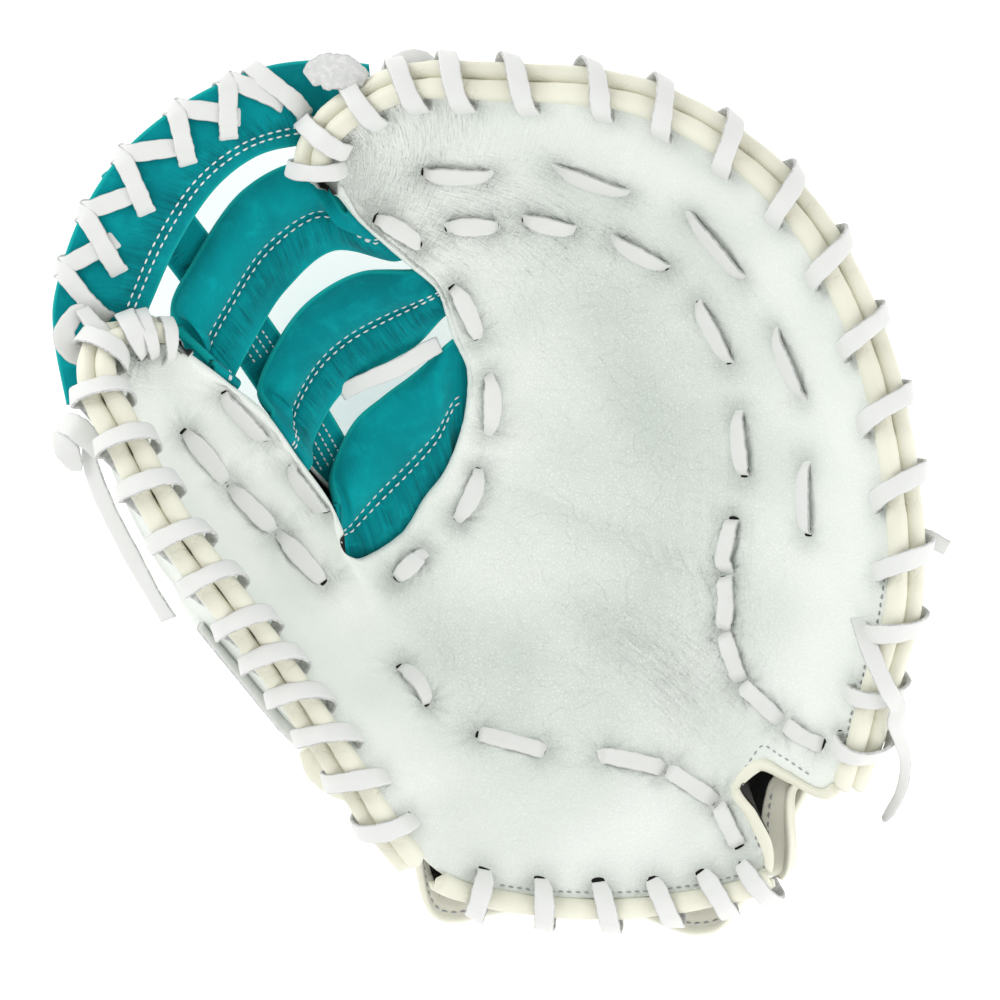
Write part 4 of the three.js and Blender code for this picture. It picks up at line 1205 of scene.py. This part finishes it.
def makeBack():
    stations = np.linspace(firstStation, lastStation, backLook["along"])
    reach = along(backReach, stations)[:, 0]
    reach = reach + backLook["rimReach"] * np.clip((reach - 0.9) / 0.07, 0, 1)
    x = np.linspace(0, 1, backLook["across"])
    s = np.broadcast_to(stations[:, None], (len(stations), len(x)))
    tucked = backLook["webTuck"] * (bell(stations - 4, 4) + bell(stations - 34, 4))
    atTips = bell(stations - firstStation, 1.8) + bell(stations - lastStation, 1.8)
    tucked = tucked + backLook["tipTuck"] * atTips
    t = tucked[:, None] + (reach - tucked)[:, None] * x[None, :]
    _, _, _, off = palmFrame(s, t)
    outer = backPoint(s, t, 0.0)
    tips = np.clip(bell(stations, 3.0) + bell(stations - lastStation, 3.5), 0, 1)[:, None]
    tips = (tips * np.clip((reach[:, None] - t) / 0.2, 0, 1))[1:-1, :, None]
    for _ in range(backLook["smoothing"]):
        outer[1:-1] += 0.9 * tips * ((outer[:-2] + outer[2:]) / 2 - outer[1:-1])
    inner = (outer + off * mitt["backWall"])[:, ::-1]
    # finger stalls are soft ribs with sewn grooves between them, which fade where the mitt rests
    raised = np.clip((outer[..., 2] - 0.001) / 0.01, 0, 1)
    fade = np.clip((t - 0.12) / 0.2, 0, 1) * np.clip((0.93 - t) / 0.2, 0, 1)
    groove = sum(bell(s - at, backLook["ribReach"]) for at in backLook["ribs"])
    outer = outer + off * (backLook["rib"] * groove * raised * fade)[..., None]
    swell = backLook["swell"] * np.sin(outer[..., 0] * 90) * np.sin(outer[..., 1] * 70 + 1)
    outer = outer + off * (swell * raised * fade)[..., None]
    rings = np.concatenate([outer, inner], axis=1)
    # the grooves' mark, which paints shade into them through the palm finish
    pulled_and_shaded = np.concatenate([groove * fade, np.zeros_like(t)], axis=1)
    inside = np.concatenate([np.zeros_like(t), np.ones_like(t)], axis=1)
    values = {"crinkle_and_shade": 0.35, "streak": 0.05, "pull": np.clip(pulled_and_shaded, 0, 1), "inside": inside}
    marks = {key: ringMarks(value, rings) for key, value in values.items()}
    uv = ringMap(stations * surfaceStep, 0.2, rings)
    makePiece("back_leather", loft(rings), finishes["palm"], ["back_shell"], marks, uv)


makeBack()
print("back made")

# Rolls and bindings of the rim

rollShape = {"perStation": 14, "sides": 18, "fill": 1.07, "pinch": 0.09, "pinchReach": 0.16, "ripple": 0.015}


def makeRoll(name, start, end, radius, outward, drop):
    # a round roll along the rim, pinched under each lace and a little fuller between
    stations = np.linspace(start, end, int((end - start) * rollShape["perStation"]) + 2)
    point, out, _, off = palmFrame(stations, 1.0)
    middle = point + out * outward - off * drop
    pinch = sum(bell(stations - hole, rollShape["pinchReach"]) for hole in wrapStations)
    ripple = rollShape["ripple"] * np.sin(stations * 9.0) * np.sin(stations * 23.0 + 1)
    size = radius * (1.0 - rollShape["pinch"] * pinch + ripple)
    tips = np.minimum((stations - stations[0]), (stations[-1] - stations)) * 60
    size = size * np.clip(np.sqrt(np.clip(tips, 0.02, 1)), 0, 1)
    rings = sweepShape(middle, out, off, size, rollShape["sides"])
    # the pinch mark also paints shade under each lace
    marks = {"pull": ringMarks(np.clip(pinch * 1.2, 0, 1)[:, None], rings)}
    makePiece(name, loft(rings), finishes["roll"], [name.replace("leather_", "")], marks)


fullRoll = mitt["roll"] * rollShape["fill"]
for part, start, end in (("thumb", firstStation, heelStart), ("finger", fingerStart, lastStation)):
    makeRoll(f"leather_{part}_roll_front", start, end, fullRoll, rollOut, frontDrop)
    makeRoll(f"leather_{part}_roll_back", start, end, fullRoll, rollOut, backDrop)
heelDrop = frontDrop + mitt["roll"] + mitt["binding"] + mitt["gap"]
start, end, binding = heelStart + 0.3, notchStart, mitt["binding"]
makeRoll("leather_heel_roll", start, end, fullRoll, rollOut, frontDrop)
makeRoll("leather_heel_binding", start, end, binding * 1.1, rollOut, heelDrop)
start, end = notchStart + 0.05, notchEnd + 0.1
makeRoll("leather_notch_binding", start, end, binding * 1.25, bindingOut, binding)
print("rolls made")

# Laces


def strapMesh(points, faces, width, steps, **look):
    # the mesh of a lace and its mark of the cut side
    rings, cutSide = strapShape(points, facing(points, faces), width, steps, **look)
    return loft(rings), ringMarks(cutSide, rings)


def makeLaces(name, meshes, replaces):
    shape = joined([shape for shape, _ in meshes])
    marks = {"cutSide": np.concatenate([mark for _, mark in meshes])}
    makePiece(name, shape, finishes["lace"], replaces, marks)


wrapWidth = mitt["laceWidth"] * 1.12
slack = mitt["laceSlack"]
turnLoop = np.array([
    [-turnReach, -0.5 * mitt["edgeDepth"]],
    [-0.85 * turnReach, over],
    [-0.1 * turnReach, over + 0.85 * mitt["roll"]],
    [rollOut + 0.35 * mitt["roll"], mitt["roll"] - frontDrop + 1.5 * over + 0.3 * slack],
    [outerReach + 0.4 * slack, -frontDrop + 0.2 * mitt["roll"]],
    [outerReach + 0.4 * slack, -backDrop - 0.2 * mitt["roll"]],
    [rollOut + 0.35 * mitt["roll"], -backDrop - mitt["roll"] - 1.95 * over - 0.4 * slack],
    [-0.2 * turnReach, -mitt["edgeDepth"] - 2.2 * over],
    [-0.85 * turnReach, -mitt["edgeDepth"] - 1.9 * over],
])
turnWidth = np.array([0.66, 0.74, 1.0, 1.06, 1.06, 1.04, 1.0, 0.9, 0.72])  # narrower towards the slits


def makeRimLace(name, rim, replaces):
    # each turn comes up through the palm, crosses the rolls and goes in at the back
    holes = np.array(rim["holes"])
    count = len(turnLoop)
    share = np.clip((np.arange(count) - 1) / (count - 3), 0, 1)
    share[0] = 0
    stations = np.clip(holes[:, None] + rim["lean"] * share[None, :], firstStation, lastStation)
    point, out, _, off = palmFrame(stations, 1.0)
    path = point + out * turnLoop[:, 0][None, :, None] + off * turnLoop[:, 1][None, :, None]
    look = loopFaces(turnLoop)
    faces = out * look[:, 0][None, :, None] + off * look[:, 1][None, :, None]
    path = path.reshape(-1, 3)[:-1]
    faces = faces.reshape(-1, 3)[:-1]
    width = rim.get("width", wrapWidth) * np.tile(turnWidth, len(holes))[:-1]
    makeLaces(f"leather_{name}", [strapMesh(path, faces, width, 6)], replaces)


for name, rim in rimWraps.items():
    makeRimLace(name, rim, [name])
for name, rim in tipWraps.items():
    makeRimLace(name, rim, [])
print("rim laces made")

runLook = {
    "up": 0.0009,
    "bow": {"free": 0.0011, "chain": 0.0004},
    "down": 0.0022,
    "spots": ((0.07, 0.0), (0.2, 0.6), (0.5, 1.0), (0.8, 0.6), (0.93, 0.0)),  # share along and lift
    "twist": 0.1,
}
# Shares of the width by lift, from inside the pad to the top of the bow
runWidth = {"lifts": [-1.0, 0.0, 0.6, 1.0], "free": [0.58, 0.74, 1.04, 1.12], "chain": [0.86, 1.0, 1.04, 1.04]}


def makeRunningLace(name, pairs):
    # every stretch bows over the leather, and between stretches the lace runs inside the pad
    spots = []
    kind = "chain" if "chain" in name else "free"

    def dip(a, b, share):
        spots.append([*(a + (b - a) * share), -runLook["down"], -1.0])

    dip(*pairs[0], 0.01)
    for i, (a, b) in enumerate(pairs):
        for share, lift in runLook["spots"]:
            spots.append([*(a + (b - a) * share), runLook["up"] + runLook["bow"][kind] * lift, lift])
        if i + 1 < len(pairs):
            c = pairs[i + 1][0]
            gap = np.linalg.norm(palmPoint(*b) - palmPoint(*c))
            for share in ((0.5,) if gap < mitt["laceWidth"] else (0.15, 0.85)):
                dip(b, c, share)
    dip(*pairs[-1], 0.99)
    spots = np.array(spots)
    point, _, _, off = palmFrame(spots[:, 0], spots[:, 1])
    height, _ = relief(point)
    path = point + off * (spots[:, 2] + 0.6 * height)[:, None]
    width = mitt["laceWidth"] * np.interp(spots[:, 3], runWidth["lifts"], runWidth[kind])
    makeLaces(f"leather_{name}", [strapMesh(path, off, width, 6, twist=runLook["twist"])], [name])


for name, pairs in ends.items():
    makeRunningLace(name, pairs)


holeLook = {
    "wide": 0.0026,
    "long": (0.0007, 0.0012),  # of a running lace's hole and of a wrap's
    "shift": (0.0003, 0.0017),  # how far past the lace's end
    "dome": 0.00012,
    "sunk": 0.0012,
    "sides": 14,
    "rows": 4,
}


def makeHoles():
    # dark ovals where the laces go in, on the leather and just past each lace's end
    toward = np.zeros_like(holePoint)
    start = 0
    for pairs in ends.values():
        p = palmPoint(pairs[..., 0], pairs[..., 1])
        line = unit(p[:, 1] - p[:, 0])
        toward[start : start + 2 * len(p)] = np.stack([-line, line], axis=1).reshape(-1, 3)
        start += 2 * len(p)
    toward[start:] = -holeOut[start:]
    toward = unit(toward - holeOff * (toward * holeOff).sum(-1, keepdims=True))
    shift = np.array(holeLook["shift"])[isWrap.astype(int)][:, None]
    middle = holePoint + toward * shift
    height, _ = relief(middle)
    middle = middle + holeOff * (height + 0.0002)[:, None]
    side = np.cross(holeOff, toward)
    angle = roundAngles(holeLook["sides"])
    lift = np.linspace(0, 1, holeLook["rows"])
    rise = holeLook["dome"] * lift - holeLook["sunk"] * (lift == 0)
    shapes = []
    for k in range(len(middle)):
        wide, long = holeLook["wide"], holeLook["long"][int(isWrap[k])]
        oval = side[k] * (wide * np.cos(angle))[:, None] + toward[k] * (long * np.sin(angle))[:, None]
        rings = middle[k] + oval[None] * (1 - 0.9 * lift**2)[:, None, None]
        shapes.append(loft(rings + holeOff[k] * rise[:, None, None]))
    makePiece("lace_holes", joined(shapes), finishes["hole"])


makeHoles()
print("running laces and holes made")

# Web


def webSeat(station, inset):
    # the slit between palm and back at the palm's edge by the web, where the bars are held
    point, out, _, off = palmFrame(station, 0.0)
    middle = mitt["edgePad"] + (mitt["edgeDepth"] - mitt["edgePad"] - mitt["backWall"]) / 2
    return point - off * middle + out * inset


def barEdges(bar, steps):
    # a bar's curve from its seat in the thumb side to its seat in the finger side
    def seat(end, inset):
        return np.concatenate([webSeat(station, inset) for station in bar[end]])

    tuck = mitt["webTuck"]
    head, tail = [seat("thumb", tuck), seat("thumb", 0.0)], [seat("finger", 0.0), seat("finger", tuck)]
    return ribbonEdges(smoothRows(np.vstack([head, placePairs(bar["rows"]), tail]), steps))


def ribbonEdges(rows):
    # outer edge, inner edge and the direction off the ribbon's face
    a, b = rows[:, :3], rows[:, 3:]
    ahead = unit(np.gradient(a + b, axis=0))
    off = unit(np.cross(b - a, ahead))
    return a, b, np.where(off[:, 2:] < 0, -off, off)


ribbonLook = {"across": 34, "edge": 5, "fullness": 0.8, "breadth": 0.08, "rise": 0.010}


def ribbonShape(a, b, off, thickness, top, low, waves=0.0, seat=0.0):
    # top and underside given by heights across the ribbon, flat in its seats, joined by round edges
    look = ribbonLook
    x = np.linspace(0, 1, look["across"])
    run = runLength((a + b) / 2)
    ripple = waves * np.sin(run[:, None] * 1500 + 2.5 * np.sin(run[:, None] * 260) + 3 * x)
    ripple = ripple * np.clip((x - 0.5) * 4, 0, 1) * np.clip((1 - x) * 8, 0, 1)
    flat = a[:, None] + (b - a)[:, None] * x[None, :, None]
    free = np.ones_like(run)
    if seat:
        free = np.clip(np.minimum(run - seat, run[-1] - seat - run) / look["rise"], 0, 1)
    free = (free * free * (3 - 2 * free))[:, None]
    upper = flat + off[:, None] * (thickness / 2 + (top(x)[None, :] + ripple) * free)[..., None]
    lower = flat + off[:, None] * (-thickness / 2 + low(x))[None, :, None]
    side = unit(b - a)
    right = halfRound(upper[:, -1], lower[:, -1], side, look["edge"], look["fullness"])
    left = halfRound(lower[:, 0], upper[:, 0], -side, look["edge"], look["fullness"])
    rings = np.concatenate([upper, right, lower[:, ::-1], left], axis=1)
    count = rings.shape[1]
    edgeMark = np.zeros(count)
    edgeMark[len(x) : len(x) + look["edge"]] = 1
    edgeMark[-look["edge"] :] = 1
    # inner half of the face: the strength of fine wrinkles and of the painted shade in them
    crinkle_and_shade = np.zeros(count)
    crinkle_and_shade[: len(x)] = np.clip((x - 0.45) * 3, 0.12, 1) * np.clip((1 - x) * 6, 0, 1)
    marks = {"edge": ringMarks(edgeMark, rings), "crinkle_and_shade": ringMarks(crinkle_and_shade, rings)}
    return rings, marks, ringMap(run, look["breadth"], rings), upper


barLook = {
    "steps": 110,
    "roll": 0.0052,
    "rollShare": 0.56,
    "crown": 0.0016,
    "groove": 0.0011,
    "grooveAt": 0.565,
    "waves": 0.00022,
    "stitches": (0.535, 0.60),  # both rows, as shares across
}
bandLook = {"steps": 150, "crown": 0.0016, "groove": 0.0004, "grooveAt": 0.82, "stitches": (0.80, 0.88)}


def barTop(x):
    # a full round roll on the outer half, a groove at the stitches, a flatter crown inside
    roll = barLook["roll"] * np.sin(np.pi * np.clip(x / barLook["rollShare"], 0, 1)) ** 0.75
    inner = barLook["crown"] * np.sin(np.pi * np.clip((x - 0.5) / 0.5, 0, 1))
    return np.maximum(roll, inner) - barLook["groove"] * bell(x - barLook["grooveAt"], 0.045)


def flatUnder(x):
    return 0.0 * x


thread = {"length": 0.0021, "gap": 0.0011, "radius": 0.00033}


def stitchRow(line, off, length=thread["length"], gap=thread["gap"], radius=thread["radius"]):
    # short bowed capsules end to end along a line, half sunk in the leather
    run = runLength(line)
    starts = np.arange(gap, run[-1] - length, length + gap)
    u = np.linspace(0, 1, 6)
    places = starts[:, None] + u * length

    def at(values):
        return np.stack([np.interp(places, run, values[:, c]) for c in range(3)], -1)

    middle, up = at(line), unit(at(off))
    ahead = unit(middle[:, -1] - middle[:, 0])[:, None, :]
    side = unit(np.cross(up, ahead))
    middle = middle + up * (radius * (0.9 * np.sin(np.pi * u) - 0.2))[None, :, None]
    angle = roundAngles(6)
    size = radius * np.array([0.35, 0.85, 1.0, 1.0, 0.85, 0.35])
    circle = side[:, :, None] * np.cos(angle)[:, None] + up[:, :, None] * np.sin(angle)[:, None]
    rings = middle[:, :, None] + circle * size[None, :, None, None]
    return [loft(ring) for ring in rings]


webEdges = {name: barEdges(bar, barLook["steps"]) for name, bar in webBars.items()}
webEdges["web_outer_band"] = ribbonEdges(smoothRows(placePairs(outerBand), bandLook["steps"]))


def bandTop(x):
    # a low crown with a groove beside its outer row of stitches
    groove = bandLook["groove"] * bell(x - bandLook["grooveAt"], 0.05)
    return bandLook["crown"] * np.sin(np.pi * x) ** 0.7 - groove


def stitchLines(surface, off, shares, start, end):
    # rows of stitches along a ribbon's face, from one share of its length to another
    shapes = []
    part = slice(int(start * len(surface)), int(end * len(surface)))
    for share in shares:
        at = share * (surface.shape[1] - 1)
        low = int(at)
        line = surface[:, low] * (1 - (at - low)) + surface[:, low + 1] * (at - low)
        shapes += stitchRow(line[part], off[part])
    return shapes


def makeWeb():
    stitches = []
    for name, (a, b, off) in webEdges.items():
        isBand = name == "web_outer_band"
        top, look, seat = (bandTop, bandLook, 0.0) if isBand else (barTop, barLook, mitt["webTuck"])
        rings, marks, uv, upper = ribbonShape(a, b, off, mitt["web"], top, flatUnder, barLook["waves"], seat)
        makePiece(f"suede_{name}", loft(rings), finishes["web"], [name], marks, uv)
        stitches += stitchLines(upper, off, look["stitches"], 0.06, 0.94)
    makePiece("web_stitches", joined(stitches), finishes["thread"])


makeWeb()

postLook = {
    "steps": 60,
    "width": 0.015,
    "tackRows": 4,
    "tackAt": (0.16, 0.50, 0.80),  # where it is sewn to the bars, as shares along it
    "tackLength": 0.010,
    "thread": {"length": 0.0015, "gap": 0.0007},
}


def makePost():
    middle = smoothRows(place(postLine), postLook["steps"])
    ahead = unit(np.gradient(middle, axis=0))
    side = unit(np.cross(ahead, np.array([0.0, 0.0, 1.0])))
    off = unit(np.cross(side, ahead))
    half = postLook["width"] / 2
    a, b = middle - side * half, middle + side * half
    rings, marks, uv, upper = ribbonShape(a, b, off, mitt["web"], flatUnder, flatUnder)
    makePiece("suede_web_post", loft(rings), finishes["web"], ["web_post"], marks, uv)
    tacks = []
    run = runLength(middle)
    for share in postLook["tackAt"]:
        at = share * run[-1]
        inside = np.abs(run - at) < postLook["tackLength"]
        for row in np.linspace(0.22, 0.78, postLook["tackRows"]):
            k = int(row * (upper.shape[1] - 1))
            tacks += stitchRow(upper[inside, k], off[inside], **postLook["thread"])
    makePiece("post_stitches", joined(tacks), finishes["thread"])


makePost()
print("web made")

webLacing = {
    # where the lace goes over the outer edge, as shares along the band
    "turns": [0.295, 0.385, 0.49, 0.60, 0.69],
    "lastTurn": 0.735,
    # share along from the turn, then millimetres in from the edge and off the band's middle
    "strap": [
        [0.030, 13.0, -2.7], [0.018, 6.0, -2.9], [0.006, 0.5, -3.0], [0.000, -2.7, 0.0], [-0.006, 0.8, 3.6],
        [-0.028, 7.0, 5.0], [-0.043, 10.7, 5.8], [-0.058, 14.3, 5.2], [-0.070, 17.2, 3.6], [-0.076, 18.9, 0.8],
    ],
    "cross": [
        [0.068, 13.4, 0.6], [0.060, 11.6, 3.4], [0.036, 6.5, 3.8], [0.012, 1.0, 3.3],
        [0.000, -2.3, 0.2], [-0.010, 0.5, -2.8], [-0.030, 8.0, -2.8],
    ],
}


def bandStrap(turn, rows, lean=1.0):
    # one crossing of the band: points from its rows, faces pointing away from the band's own body
    rows = np.array(rows)
    a, b, off = webEdges["web_outer_band"]
    stations = np.clip(turn + lean * rows[:, 0], 0, 1)
    v = along(np.column_stack([np.linspace(0, 1, len(a)), a, b, off]), stations)
    inward, off = unit(v[:, 3:6] - v[:, 0:3]), unit(v[:, 6:9])
    depth, height = rows[:, 1:2] / 1000, rows[:, 2:3] / 1000
    path = v[:, 0:3] + inward * depth + off * height
    faces = unit(inward * np.minimum(depth - 0.001, 0) + off * (height + 0.0003))
    return path, faces


def makeWebLaces():
    straps = [bandStrap(turn, webLacing["strap"]) for turn in webLacing["turns"]]
    straps.append(bandStrap(webLacing["lastTurn"], webLacing["strap"], lean=-0.8))
    crosses = [bandStrap(turn, webLacing["cross"]) for turn in webLacing["turns"]]
    for name, paths, replaces in (
        ("leather_web_rim_lace", straps, ["web_rim_lace"]), ("leather_web_cross_lace", crosses, []),
    ):
        makeLaces(name, [strapMesh(*path, wrapWidth, 7, twist=0.12) for path in paths], replaces)


makeWebLaces()
print("web laces made")

# Lace ends, knot and straps outside the rim


def makeLooseEnd(name, end, replaces):
    # a strap through its spots: its face looks one way, and rolls over by the turn towards its tip
    spots = throughPoints(end["spots"], 3)
    path = spots[:, :3] / 1000
    side = facing(path, np.broadcast_to(end["face"], path.shape))
    normal = unit(np.cross(chords(path), side))
    turn = (end["turn"] * np.linspace(0, 1, len(path)) ** 2)[:, None]
    side = side * np.cos(turn) + normal * np.sin(turn)
    rings, cutSide = strapShape(path, side, spots[:, 3] / 1000, 3, twist=0.1)
    marks = {"cutSide": ringMarks(np.maximum(cutSide, end.get("suede", 0.0)), rings)}
    makePiece(name, loft(rings), finishes["lace"], replaces, marks)


for name, end in looseEnds.items():
    makeLooseEnd(f"leather_{name}", end, [name])
for name, end in extraEnds.items():
    makeLooseEnd(f"leather_{name}", end, [])


softLook = {"steps": 14, "sides": 20, "squareAcross": 0.7, "squareDeep": 0.8, "wrinkle": 0.02}


def strapOnBack(name, rows, finish):
    # a soft strap with a full round section lying on the back leather
    rows = smoothRows(rows, softLook["steps"] * (len(rows) - 1))
    _, _, forward, off = palmFrame(rows[:, 0], rows[:, 1])
    half, deep = rows[:, 2:3] / 1000, rows[:, 3:4] / 1000
    middle = backPoint(rows[:, 0], rows[:, 1], 0.0) - off * (deep + mitt["gap"])
    side = unit(np.cross(off, forward))
    angle = roundAngles(softLook["sides"])
    across = squarer(np.cos(angle), softLook["squareAcross"])
    height = squarer(np.sin(angle), softLook["squareDeep"])
    wrinkle = 1 + softLook["wrinkle"] * np.sin(np.arange(len(rows)) * 0.9)[:, None, None]
    rings = middle[:, None] + side[:, None] * (across[None, :] * half)[..., None] * wrinkle
    rings = rings + off[:, None] * (height[None, :] * deep)[..., None] * wrinkle
    marks = {"cutSide": ringMarks(np.where(height > -0.2, 0.1, 0.9), rings), "pull": ringMarks(0.5, rings)}
    makePiece(f"leather_{name}", loft(rings), finishes[finish], [name], marks)


for name, rows in backStraps.items():
    strapOnBack(name, rows, "roll" if name == "pull_roll" else "lace")
print("lace ends made")

# Wrist strap with its pile, and the lining in the notch

strapHeight = mitt["backWall"] + mitt["gap"] + mitt["strap"] / 2


def wristEdges():
    def end(*spots):
        return np.concatenate([backPoint(*np.array([*spot, strapHeight])) for spot in spots])

    # station and share of both edges where the strap lies inside the back leather
    head = [end((9.6, 0.55), (10.2, 0.85)), end((10.6, 0.55), (11.0, 0.84))]
    tail = [end((20.6, 0.50), (20.2, 0.88)), end((21.6, 0.50), (21.2, 0.88))]
    return ribbonEdges(smoothRows(np.vstack([head, placePairs(strapMiddle), tail]), wristLook["steps"]))


wristLook = {"steps": 120, "crown": 0.0006, "groove": 0.0004, "stitches": (0.06, 0.94)}


def strapTop(x):
    # a low crown with a groove under each row of stitches
    grooves = sum(bell(x - share, 0.02) for share in wristLook["stitches"])
    return wristLook["crown"] * np.sin(np.pi * x) ** 0.5 - wristLook["groove"] * grooves


def makeWrist():
    a, b, off = wristEdges()
    rings, marks, uv, upper = ribbonShape(a, b, off, mitt["strap"], strapTop, lambda x: -strapTop(x))
    # the inner half's mark, weaker: fine folds there and a darker tone
    marks["pull"] = marks["crinkle_and_shade"] * 0.4
    makePiece("leather_wrist_strap", loft(rings), finishes["roll"], ["wrist_strap"], marks, uv)
    first = ribbonLook["across"] + ribbonLook["edge"]
    under = rings[:, first : first + ribbonLook["across"]]
    stitches = stitchLines(under, -off, wristLook["stitches"], 0.1, 0.9)
    stitches += stitchLines(upper, off, wristLook["stitches"], 0.1, 0.9)
    makePiece("strap_stitches", joined(stitches), finishes["greyThread"])
    part = slice(*furLook["rows"])
    makeFur(a[part], b[part], off[part])


furLook = {
    "rows": (26, -40),  # rows of the strap that it covers
    "inset": 0.0095,
    "innerInset": 0.002,
    "bed": 0.001,
    "hairs": 7000,
    "length": 0.0042,
    "radius": 0.00016,
    "rise": 0.0022,
    "lean": 0.45,
    "seed": 4,
}


def makeFur(a, b, off):
    # short pile on the strap's inner face: a thin bed with leaning three-sided hairs
    look = furLook
    side = unit(b - a)
    a, b = a + side * look["innerInset"], b - side * look["inset"]
    up = off * look["rise"]
    bedRings, _, _, _ = ribbonShape(a + up, b + up, off, look["bed"], flatUnder, flatUnder)
    rng = np.random.default_rng(look["seed"])
    count = look["hairs"]
    row = rng.uniform(0, len(a) - 1.001, count)
    i = row.astype(int)
    w = (row - i)[:, None]
    x = rng.uniform(-0.03, 1.03, count)[:, None]

    def at(values):
        return values[i] * (1 - w) + values[i + 1] * w

    root = at(a) * (1 - x) + at(b) * x + at(off) * look["rise"]
    lean = unit(at(off) + rng.normal(0, look["lean"], (count, 3)))
    tip = root + lean * look["length"] * rng.uniform(0.6, 1.1, count)[:, None]
    u = unit(np.cross(lean, rng.normal(0, 1, (count, 3))))
    v = np.cross(lean, u)
    angle = roundAngles(3)[:, None]
    foot = root[:, None] + look["radius"] * (u[:, None] * np.cos(angle) + v[:, None] * np.sin(angle))
    points = np.concatenate([foot, tip[:, None]], axis=1).reshape(-1, 3)
    base = (np.arange(count) * 4)[:, None]
    tris = np.concatenate([base + np.array(f) for f in ([0, 1, 3], [1, 2, 3], [2, 0, 3], [0, 2, 1])])
    hairs = (points, np.zeros((0, 4), int), tris)
    makePiece("fur_pile", joined([loft(bedRings), hairs]), finishes["fur"], ["strap_fur"])


makeWrist()

liningLook = {
    "thickness": 0.0012,
    "inner": [[16.0, 0.80], [17.2, 0.78], [18.6, 0.78], [19.8, 0.78]],  # station and share under the palm
    "outer": [[0.212, -0.190, 0.29], [0.222, -0.155, 0.29], [0.226, -0.118, 0.31], [0.240, -0.085, 0.34]],
}


def makeLining():
    def underPalm(station, share):
        point, _, _, off = palmFrame(station, share)
        return point - off * (padDepth(share) + mitt["gap"] + liningLook["thickness"] / 2)

    outer = place(liningLook["outer"])
    inner = np.array([underPalm(s, t) for s, t in liningLook["inner"]])
    a, b, off = ribbonEdges(smoothRows(np.hstack([inner, outer]), 40))
    rings, marks, uv, _ = ribbonShape(a, b, off, liningLook["thickness"], flatUnder, flatUnder)
    makePiece("cloth_hand_lining", loft(rings), finishes["lining"], ["hand_lining"], marks, uv)


makeLining()

# Rows up the panel inside the notch: outer and inner edge as shares of width, length and height
notchPanel = [
    [0.222, -0.214, 0.36, 0.197, -0.214, 0.37],
    [0.231, -0.203, 0.39, 0.197, -0.204, 0.38],
    [0.234, -0.180, 0.41, 0.197, -0.178, 0.39],
    [0.2325, -0.155, 0.42, 0.197, -0.150, 0.40],
    [0.2315, -0.128, 0.43, 0.201, -0.124, 0.41],
    [0.236, -0.113, 0.43, 0.208, -0.104, 0.41],
    [0.252, -0.110, 0.43, 0.228, -0.086, 0.41],
]
panelLook = {"steps": 60, "thickness": 0.0014, "welt": 0.0022, "weltShare": 0.30, "stitches": (0.80,)}


def panelTop(x):
    # a round welt along the outer edge, flat inside
    return panelLook["welt"] * np.sin(np.pi * np.clip(x / panelLook["weltShare"], 0, 1)) ** 0.6


def makeNotchPanel():
    a, b, off = ribbonEdges(smoothRows(placePairs(notchPanel), panelLook["steps"]))
    rings, marks, uv, upper = ribbonShape(a, b, off, panelLook["thickness"], panelTop, lambda x: -panelTop(x))
    # the inner half's mark, weaker: fine folds there and a darker tone
    marks["pull"] = marks["crinkle_and_shade"] * 0.3
    makePiece("leather_notch_panel", loft(rings), finishes["roll"], [], marks, uv)
    stitches = joined(stitchLines(upper, off, panelLook["stitches"], 0.3, 0.8))
    makePiece("panel_stitches", stitches, finishes["greyThread"])


makeNotchPanel()
print("strap and lining made")

# Seams: dashed thread along the notch, the heel and the lower right wall

seams = {
    "heel": {"from": 12.4, "to": 15.85, "inset": 0.0018, "sunk": 0.0005},  # stations, then metres
    "notch": {"from": 16.1, "to": 19.9, "inset": 0.0040, "sunk": 0.0},
    "wall": {"from": 20.6, "to": 24.0, "inset": 0.0018, "sunk": 0.0005},
}
seamThread = {"length": 0.0017, "gap": 0.0012, "radius": 0.00028}


def makeSeams():
    shapes = []
    for seam in seams.values():
        stations = np.linspace(seam["from"], seam["to"], int((seam["to"] - seam["from"]) * 30))
        width = np.linalg.norm(palmPoint(stations, 1.0) - palmPoint(stations, 0.98), axis=1) / 0.02
        point, _, _, off = palmFrame(stations, 1.0 - seam["inset"] / width)
        height, _ = relief(point)
        line = point + off * (height - seam["sunk"])[:, None]
        shapes += stitchRow(line, off, **seamThread)
    makePiece("seam_stitches", joined(shapes), finishes["greyThread"])


makeSeams()
print("seams made")
